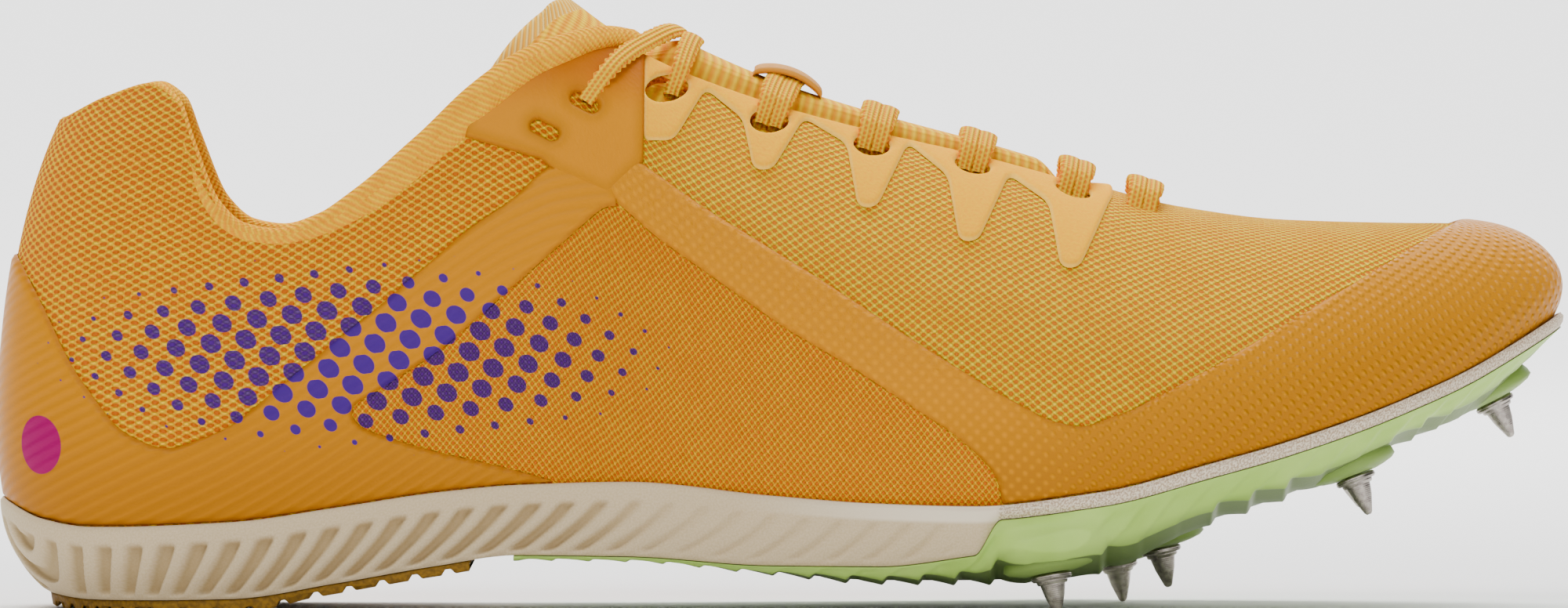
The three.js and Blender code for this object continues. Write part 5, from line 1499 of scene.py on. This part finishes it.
plate_ring, plate_arc = ring_stations(-PLATE_START, PLATE_START - 2 * LENGTH, PLATE_POINTS)
plate_f, plate_side, plate_foot, plate_spine = foot_and_spine(plate_ring)
plate_far = outline_length(plate_ring) - outline_length(np.array([PLATE_START]))
plate_width = np.linalg.norm(plate_foot - plate_spine, axis=-1)
plate_end = smooth(plate_f, PLATE_START, PLATE_START + 0.004)
high_inset = flare_at(plate_f) + PLATE_INSET
low_inset = high_inset + PLATE_FLARE * mix(0.25, 1, smooth(plate_f, PLATE_START, WRAP_END + 0.02))
crown_inset = CROWN_SHARE * plate_width


def leaf_wave(height):
    """0 on a leaf's ridge and 1 in the gap before the next one, at a height above the edge."""
    share = np.mod((plate_far - LEAF_LEAN * height) / TOOTH_PITCH, 1)
    fall = np.clip((1 - share) / (1 - NOTCH_SHARE), 0, 1) ** 0.9
    return np.where(share < NOTCH_SHARE, smooth(share, 0, NOTCH_SHARE), fall)


SPIKES = {
    "at": [0.669, 0.715, 0.741, 0.863, 0.863, 0.955],
    "across": [-0.74, 0.6, 0.04, -0.55, 0.55, 0.05],
    "lean": [10, 9, 12, 21, 21, 27],
    "splay": [5, 5, 0, 4, 4, 0],
    "stands": [1, 1, 0, 0, 0, 0],
}
BOSS_REACH = 0.0085

at_boss = np.zeros_like(plate_f)
for at, across in zip(SPIKES["at"], SPIKES["across"]):
    reached = np.exp(-(((plate_f - at * LENGTH) / BOSS_REACH) ** 4))
    at_boss = np.maximum(at_boss, reached * (plate_side * across > -0.1))
at_bulge = np.exp(-(((plate_f - BULGE_PLACE) / BULGE_REACH) ** 4))
plate_rows = []
plate_uv = []
plate_painted_shade = []
tall = plate_top(plate_f) - tread_at(plate_f) - plate_rise(plate_f)
bite = np.minimum(TOOTH_DEPTH, 0.25 * tall + 0.0004) * plate_end * (1 - 0.9 * at_boss)
for share in np.linspace(1, 0, PLATE_ROWS):
    height = tall * share
    groove = LEAF_DEPTH * leaf_wave(height) * (1 - smooth(share, 0.62, 0.95)) * plate_end
    bulge = BULGE_DEPTH * at_bulge * smooth(1 - share, 0.05, 0.7)
    swell = 0.0004 * math.sin(math.pi * share) + bulge
    inset = mix(low_inset, high_inset, share**0.8) + groove * (1 - at_bulge) - swell
    lift = bite * leaf_wave(0 * height) * (1 - share) ** 4
    plate_rows.append(
        sole_point(
            plate_ring, inset,
            lambda x: mix(tread_at(x) + plate_rise(x), plate_top(x), share) + lift,
        )
    )
    plate_uv.append(np.stack([plate_arc, height], -1))
    # Painted shade: the foot of the plate's side is marked darker, less on the bulge
    plate_painted_shade.append(0 * height + 0.45 * (1 - smooth(share, 0, 0.35)) * (1 - 0.6 * at_bulge))


def plate_inside(x):
    return np.minimum(plate_top(x), tread_at(x) + PLATE_THICKNESS)


inner_rows = [
    sole_point(plate_ring, plate_width, plate_inside),
    sole_point(plate_ring, crown_inset, plate_inside),
    sole_point(plate_ring, high_inset + PLATE_RIM, plate_top),
    sole_point(plate_ring, high_inset + PLATE_LIP, plate_top),
]
under_rows = []
lift = bite * leaf_wave(0 * plate_f)
for share in EDGE_ROWS:
    inset = mix(low_inset + PLATE_ROUND, crown_inset, share)
    inset = inset - BULGE_DEPTH * at_bulge * max(0, 1 - share / 0.7)
    under_rows.append(
        sole_point(
            plate_ring, inset, lambda x: tread_at(x) + plate_rise(x) * (1 - share) + lift
        )
    )
for share in CROWN_ROWS:
    inset = mix(crown_inset, plate_width, share)
    under_rows.append(
        sole_point(plate_ring, inset, lambda x: tread_at(x) + lift * (1 - share) ** 0.3)
    )
plate_points = np.stack(inner_rows + plate_rows + under_rows, 1)
# The underside is marked with full painted shade
plate_painted_shade = [0 * plate_f] * len(inner_rows) + plate_painted_shade + [0 * plate_f + 1] * len(under_rows)
plate_flat = [flat_uv(row) for row in inner_rows] + plate_uv + [flat_uv(row) for row in under_rows]


def with_end_cap(ring_count, row_count):
    """Faces of a grid whose first and last rows of points are joined across."""
    faces = grid_faces(ring_count, row_count).tolist()
    last_ring = (ring_count - 1) * row_count
    for k in range(row_count - 1):
        faces.append((k, k + 1, last_ring + k + 1, last_ring + k))
    return faces


plate_faces = with_end_cap(*plate_points.shape[:2])

SPIKE_LENGTH = 0.0074
TIP_RADIUS = 0.0006
BOSS_RADIUS = 0.005
BOSS_STAND = 0.0013
DOME_RADIUS = 0.0084
DOME_STEPS = 9
DOME_FACE = -0.0015  # along the spike, from the face that the flange seats on
BOSS_RIM = (
    (DOME_RADIUS - 0.0008, -0.0009), (BOSS_RADIUS + 0.0008, -0.0004),
    (BOSS_RADIUS - 0.0006, -GAP / 2), (0, -GAP / 2),
)
BOSS_CORNERS = 40
# Painted shade on the bosses under the plate
BOSS_PAINTED_SHADE = 0.7


def spike_place(at, across, lean, splay, stands):
    """Middle of the face that a spike's flange seats on, the way it points and its root."""
    f = at * LENGTH
    y = centre_at(f) + across * half_width(f)
    tilt = math.radians(lean)
    roll = math.radians(splay) * np.sign(across)
    axis = Vector((math.sin(tilt), math.sin(roll), -math.cos(tilt) * math.cos(roll))).normalized()
    edge = half_width(f) - flare_at(f) - PLATE_INSET - PLATE_FLARE
    flat = (1 - CROWN_SHARE) * half_width(f)
    out = np.clip((abs(across) * half_width(f) - flat) / (edge - flat), 0, 1)
    underside = tread_at(f) + plate_rise(f) * out
    tip = TIP_RADIUS * math.sqrt(1 - axis.z**2)
    base = -axis.z * SPIKE_LENGTH + tip if stands else underside - BOSS_STAND
    return Vector((f, y, base)), axis, max(0, underside - base) + PLATE_THICKNESS


def lathed(profile, place, corners):
    """A closed turned shape: radius and distance along the axis, from one pole to the other."""
    centre, axis, _ = place
    turn = Vector((0, 0, 1)).rotation_difference(axis).to_matrix()
    angle = np.linspace(0, 2 * math.pi, corners + 1)
    r, h = np.array(profile).T
    points = np.stack(
        [r[:, None] * np.cos(angle), r[:, None] * np.sin(angle), h[:, None] + 0 * angle], -1
    )
    points = points @ np.array(turn).T + np.array(centre)
    uv = np.stack([r[:, None] * np.cos(angle), h[:, None] + r[:, None] + 0 * angle], -1)
    return points.reshape(-1, 3), uv.reshape(-1, 2), grid_faces(len(r), corners + 1)


places = [spike_place(*row) for row in zip(*SPIKES.values())]
boss_points, boss_uv = [], []
offset = plate_points.size // 3
for place in places:
    root = place[2]  # how far the boss reaches back into the plate
    profile = [
        (DOME_RADIUS * math.sin(a), DOME_FACE - (root + 0.0022) * math.cos(a))
        for a in np.linspace(0, math.pi / 2, DOME_STEPS)
    ]
    points, uv, faces = lathed([*profile, *BOSS_RIM], place, BOSS_CORNERS)
    boss_points.append(points)
    boss_uv.append(uv)
    plate_faces += (faces + offset).tolist()
    offset += len(points)
boss_painted_shade = np.full(sum(map(len, boss_points)), BOSS_PAINTED_SHADE)
plate = make_piece(
    "moulded_plate",
    np.concatenate([plate_points.reshape(-1, 3)] + boss_points),
    plate_faces,
    np.concatenate([np.stack(plate_flat, 1).reshape(-1, 2)] + boss_uv),
    {"under": np.concatenate([np.stack(plate_painted_shade, 1).ravel(), boss_painted_shade])},
)
plate_look, tree, shader = new_material("plate_look", Roughness=0.45, Specular_IOR_Level=0.18)
place = map_place(tree)
cloudy = grain(tree, place, 0.08, 2)
tone = blend(tree, ramp(tree, cloudy, 0.3, 0.7), paint(166, 194, 122), paint(178, 204, 134))
# Painted shade: darker on the underside, the foot of the side and the bosses, by the under values
tone = blend(tree, field(tree, "under"), tone, paint(108, 122, 86))
wire(tree, tone, shader.inputs["Base Color"])
relief(tree, shader, grain(tree, place, 1.4, 2), depth=0.00005)
plate.data.materials.append(plate_look)
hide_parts("spike_plate")


# Spikes: turned steel, screwed into the plate, with a flange, a small ring and a cone; one is
# drawn up from a disc step by step, and the six are copies of it set at their own leans
FLANGE_RADIUS = 0.0037
FLANGE_THICKNESS = 0.0011
FLANGE_BEVEL = 0.0003
RING_RADIUS = 0.0026
RING_TOP = FLANGE_THICKNESS + 0.0007
CONE_MIDDLE = (0.0018, 0.0040)
CONE_SHOULDER = (TIP_RADIUS + 0.00015, 0.0070)
SPIKE_CORNERS = 32
SHARP_EDGE = math.radians(40)
SPIKE_PROFILE = (  # radius and height of each ring, from the flange's face to the tip
    (FLANGE_RADIUS, FLANGE_BEVEL), (FLANGE_RADIUS, FLANGE_THICKNESS - FLANGE_BEVEL),
    (FLANGE_RADIUS - FLANGE_BEVEL, FLANGE_THICKNESS), (RING_RADIUS + 0.0003, FLANGE_THICKNESS),
    (RING_RADIUS + 0.0002, RING_TOP - 0.0002), (RING_RADIUS, RING_TOP),
    (RING_RADIUS - 0.0003, RING_TOP), (RING_RADIUS - 0.0004, RING_TOP + 0.0004),
    CONE_MIDDLE, CONE_SHOULDER, (TIP_RADIUS - 0.0001, SPIKE_LENGTH - 0.0001),
    (TIP_RADIUS - 0.0003, SPIKE_LENGTH),
)

steel_look, tree, shader = new_material("steel_look", Metallic=1.0)
turned = use_effect(tree, ridges, Place=map_place(tree), Pitch=0.35, Angle=math.pi / 2)["Height"]
worn = grain(tree, map_place(tree), 0.9, 3)
wire(tree, ramp(tree, worn, 0.3, 0.7, 0.26, 0.36), shader.inputs["Roughness"])
tone = blend(tree, ramp(tree, worn, 0.35, 0.65), paint(146, 140, 136), paint(178, 172, 166))
wire(tree, tone, shader.inputs["Base Color"])
relief(tree, shader, turned, depth=0.00002)

bpy.ops.object.select_all(action="DESELECT")
bpy.ops.mesh.primitive_circle_add(
    vertices=SPIKE_CORNERS, radius=FLANGE_RADIUS - FLANGE_BEVEL, fill_type="NGON"
)
first_spike = bpy.context.object
bpy.ops.object.mode_set(mode="EDIT")
bpy.ops.mesh.select_mode(type="FACE")
bpy.ops.mesh.select_all(action="SELECT")
radius, height = FLANGE_RADIUS - FLANGE_BEVEL, 0
for next_radius, next_height in SPIKE_PROFILE:
    step = (0, 0, next_height - height)
    bpy.ops.mesh.extrude_region_move(TRANSFORM_OT_translate={"value": step})
    share = next_radius / radius
    bpy.ops.transform.resize(value=(share, share, 1))
    radius, height = next_radius, next_height
bpy.ops.mesh.select_all(action="SELECT")
bpy.ops.mesh.normals_make_consistent(inside=False)
bpy.ops.object.mode_set(mode="OBJECT")
bpy.ops.object.shade_smooth_by_angle(angle=SHARP_EDGE)
spike_map = first_spike.data.uv_layers.active or first_spike.data.uv_layers.new(name="UVMap")
for corner in first_spike.data.loops:
    x, _, z = first_spike.data.vertices[corner.vertex_index].co
    spike_map.data[corner.index].uv = (x * MILLIMETRES, z * MILLIMETRES)
first_spike.data.materials.append(steel_look)

pins = [first_spike]
for _ in places[1:]:
    pin = first_spike.copy()
    pin.data = first_spike.data.copy()
    bpy.context.collection.objects.link(pin)
    pins.append(pin)
for i, (pin, (seat, axis, _)) in enumerate(zip(pins, places)):
    pin.name = pin.data.name = f"steel_spike_{i + 1}"
    bpy.ops.object.select_all(action="DESELECT")
    pin.select_set(True)
    bpy.context.view_layer.objects.active = pin
    pin.rotation_euler = Vector((0, 0, 1)).rotation_difference(axis).to_euler()
    pin.location = row_frame(np.array([seat]))[0].tolist()
    bpy.ops.object.transform_apply(location=True, rotation=True, scale=True)
    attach(pin, "root")
    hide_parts(f"spike_{i + 1}")


# Heel rubber: thin hard rubber moulded with rows of small lugs, finer at the back, and glued
# under the heel
RUBBER_END = 0.086
RUBBER_THICKNESS = 0.0018
LUG_PITCH = 0.0060
LUG_DEPTH = 0.0010
LUG_SPACING = 0.0070
FINE_LUG_END = 0.028
FINE_LUG_PITCH = LUG_PITCH * 0.4
RUBBER_POINTS = 620
RUBBER_INSET = 0.0006
RUBBER_SIDE_INSET = 0.0004  # and this much more at the foot of its side
RUBBER_FLOOR_INSET = 0.0007
RUBBER_SIDE = (0.35, 0.7, 0.92)  # rows of its side, as shares of the way down
RUBBER_ROWS = 64

rubber_ring, rubber_arc = ring_stations(-RUBBER_END, RUBBER_END, RUBBER_POINTS)
rubber_f, _, rubber_foot, rubber_spine = foot_and_spine(rubber_ring)
rubber_width = np.linalg.norm(rubber_foot - rubber_spine, axis=-1)
rubber_inset = flare_at(rubber_f) + RUBBER_INSET


def rubber_top(x):
    return foam_low(x) - GAP / 2


def lug_floor(points):
    """The rubber's underside at each point: low on the lugs, higher in the gaps between them."""
    x, y = points[:, 0], points[:, 1]
    low = np.maximum(0, np.minimum(tread_at(x), rubber_top(x) - RUBBER_THICKNESS))
    row = (x - FINE_LUG_END) / np.where(x < FINE_LUG_END, FINE_LUG_PITCH, LUG_PITCH)
    bar = np.mod(row, 1)
    split = np.mod(y / LUG_SPACING + 0.5 * np.floor(row), 1)
    gap = np.where(bar < 0.5, smooth(0.5 - bar, 0.22, 0.42), smooth(bar - 0.5, 0.34, 0.44))
    gap = np.maximum(gap, 1 - smooth(np.minimum(split, 1 - split), 0.06, 0.14))
    lift = np.minimum(LUG_DEPTH, (rubber_top(x) - low) * 0.7)
    return np.column_stack([x, y, low + lift * gap])


side_top = sole_point(rubber_ring, rubber_inset, rubber_top)
rubber_rows = [sole_point(rubber_ring, rubber_width, rubber_top), side_top]
low = lug_floor(sole_point(rubber_ring, rubber_inset + RUBBER_SIDE_INSET, rubber_top))
for share in RUBBER_SIDE:
    rubber_rows.append(mix(side_top, low, share))
for share in np.linspace(0, 1, RUBBER_ROWS):
    inset = mix(rubber_inset + RUBBER_FLOOR_INSET, rubber_width, share)
    rubber_rows.append(lug_floor(sole_point(rubber_ring, inset, rubber_top)))
rubber_points = np.stack(rubber_rows, 1)
side_count = 2 + len(RUBBER_SIDE)
rubber_uv = [np.stack([rubber_arc, row[:, 2]], -1) for row in rubber_rows[:side_count]]
rubber_uv += [flat_uv(row) for row in rubber_rows[side_count:]]
rubber = make_piece(
    "lugged_rubber",
    rubber_points.reshape(-1, 3),
    with_end_cap(*rubber_points.shape[:2]),
    np.stack(rubber_uv, 1).reshape(-1, 2),
)
rubber_look, tree, shader = new_material("rubber_look", Roughness=0.7, Specular_IOR_Level=0.4)
dust = grain(tree, map_place(tree), 1.1, 4)
tone = blend(tree, ramp(tree, dust, 0.3, 0.7), paint(98, 76, 2), paint(132, 104, 10))
wire(tree, tone, shader.inputs["Base Color"])
relief(tree, shader, dust, depth=0.0001)
rubber.data.materials.append(rubber_look)
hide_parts("heel_outsole")


# Studio: pale paper that sweeps up behind the shoe and is clear from its back, so that it hides
# nothing in the rear views; soft light from above and in front; and a long lens level with the
# shoe, square to its outer side
VIEW_WIDTH = 0.2857
VIEW_MIDDLE = (0.0005, 0.0, 0.0554)
VIEW_ELEVATION = math.radians(1.2)
LENS_DISTANCE = 3.0
SENSOR = 36.0
FLOOR_FRONT = 0.2  # the share of the paper that runs on past the camera
FLOOR_WIDTH = 24
FLOOR_NEAR = -3.5
FLOOR_FAR = 3.0
FLOOR_PAST = 9
SWEEP_HEIGHT = 3.2

bpy.ops.object.select_all(action="DESELECT")
bpy.ops.mesh.primitive_grid_add(x_subdivisions=2, y_subdivisions=80, size=1)
floor = bpy.context.object
floor.name = "studio_floor"
for vertex in floor.data.vertices:
    across = vertex.co.y + 0.5
    share = max(0, (across - FLOOR_FRONT) / (1 - FLOOR_FRONT))
    past = max(0, 1 - across / FLOOR_FRONT)
    vertex.co.x *= FLOOR_WIDTH
    vertex.co.y = mix(FLOOR_NEAR, FLOOR_FAR, min(share / 0.7, 1)) - FLOOR_PAST * past
    vertex.co.z = SWEEP_HEIGHT * smooth(share, 0.55, 1.0) ** 1.5
floor.data.polygons.foreach_set("use_smooth", [True] * len(floor.data.polygons))
paper, tree, shader = new_material("pale_paper", Base_Color=(0.94, 0.94, 0.94, 1), Roughness=0.95)
from_back = tree.nodes.new("ShaderNodeNewGeometry").outputs["Backfacing"]
clear = tree.nodes.new("ShaderNodeBsdfTransparent").outputs["BSDF"]
either = add(tree, "MixShader", from_back, shader.outputs["BSDF"], clear)
wire(tree, either, tree.nodes["Material Output"].inputs["Surface"])
floor.data.materials.append(paper)


def soft_light(name, place, aim, size, power):
    """A soft box of so many watts at a place, turned to its aim."""
    light = bpy.data.lights.new(name, "AREA")
    light.shape = "RECTANGLE"
    light.size, light.size_y = size
    light.energy = power
    holder = bpy.data.objects.new(name, light)
    bpy.context.scene.collection.objects.link(holder)
    holder.location = place
    holder.rotation_euler = (Vector(aim) - Vector(place)).to_track_quat("-Z", "Y").to_euler()


soft_light("key_light", (-0.45, -1.1, 1.35), (0, 0, 0.05), (1.1, 0.8), 19)
soft_light("front_fill", (0.7, -1.7, 0.35), (0, 0, 0.03), (1.4, 0.6), 7)
soft_light("top_light", (0.1, 0.35, 1.6), (0, 0, 0.05), (1.4, 0.9), 15)
soft_light("back_fill", (0.4, 1.3, 1.0), (0, 0, 0.05), (1.2, 0.8), 6)
soft_light("backdrop_light", (0, 0.9, 2.2), (0, 2.6, 0.5), (3.0, 1.0), 170)

world = bpy.data.worlds.new("studio_air")
world.use_nodes = True
world.node_tree.nodes["Background"].inputs["Color"].default_value = (1, 1, 1, 1)
world.node_tree.nodes["Background"].inputs["Strength"].default_value = 0.15
bpy.context.scene.world = world

lens = bpy.data.cameras.new("camera")
lens.sensor_width = SENSOR
lens.lens = SENSOR * LENS_DISTANCE / VIEW_WIDTH
lens.clip_end = 50
camera = bpy.data.objects.new("camera", lens)
bpy.context.scene.collection.objects.link(camera)
aim = Vector(VIEW_MIDDLE)
camera.location = aim + LENS_DISTANCE * Vector(
    (0, -math.cos(VIEW_ELEVATION), math.sin(VIEW_ELEVATION))
)
camera.rotation_euler = (aim - camera.location).to_track_quat("-Z", "Y").to_euler()
bpy.context.scene.camera = camera
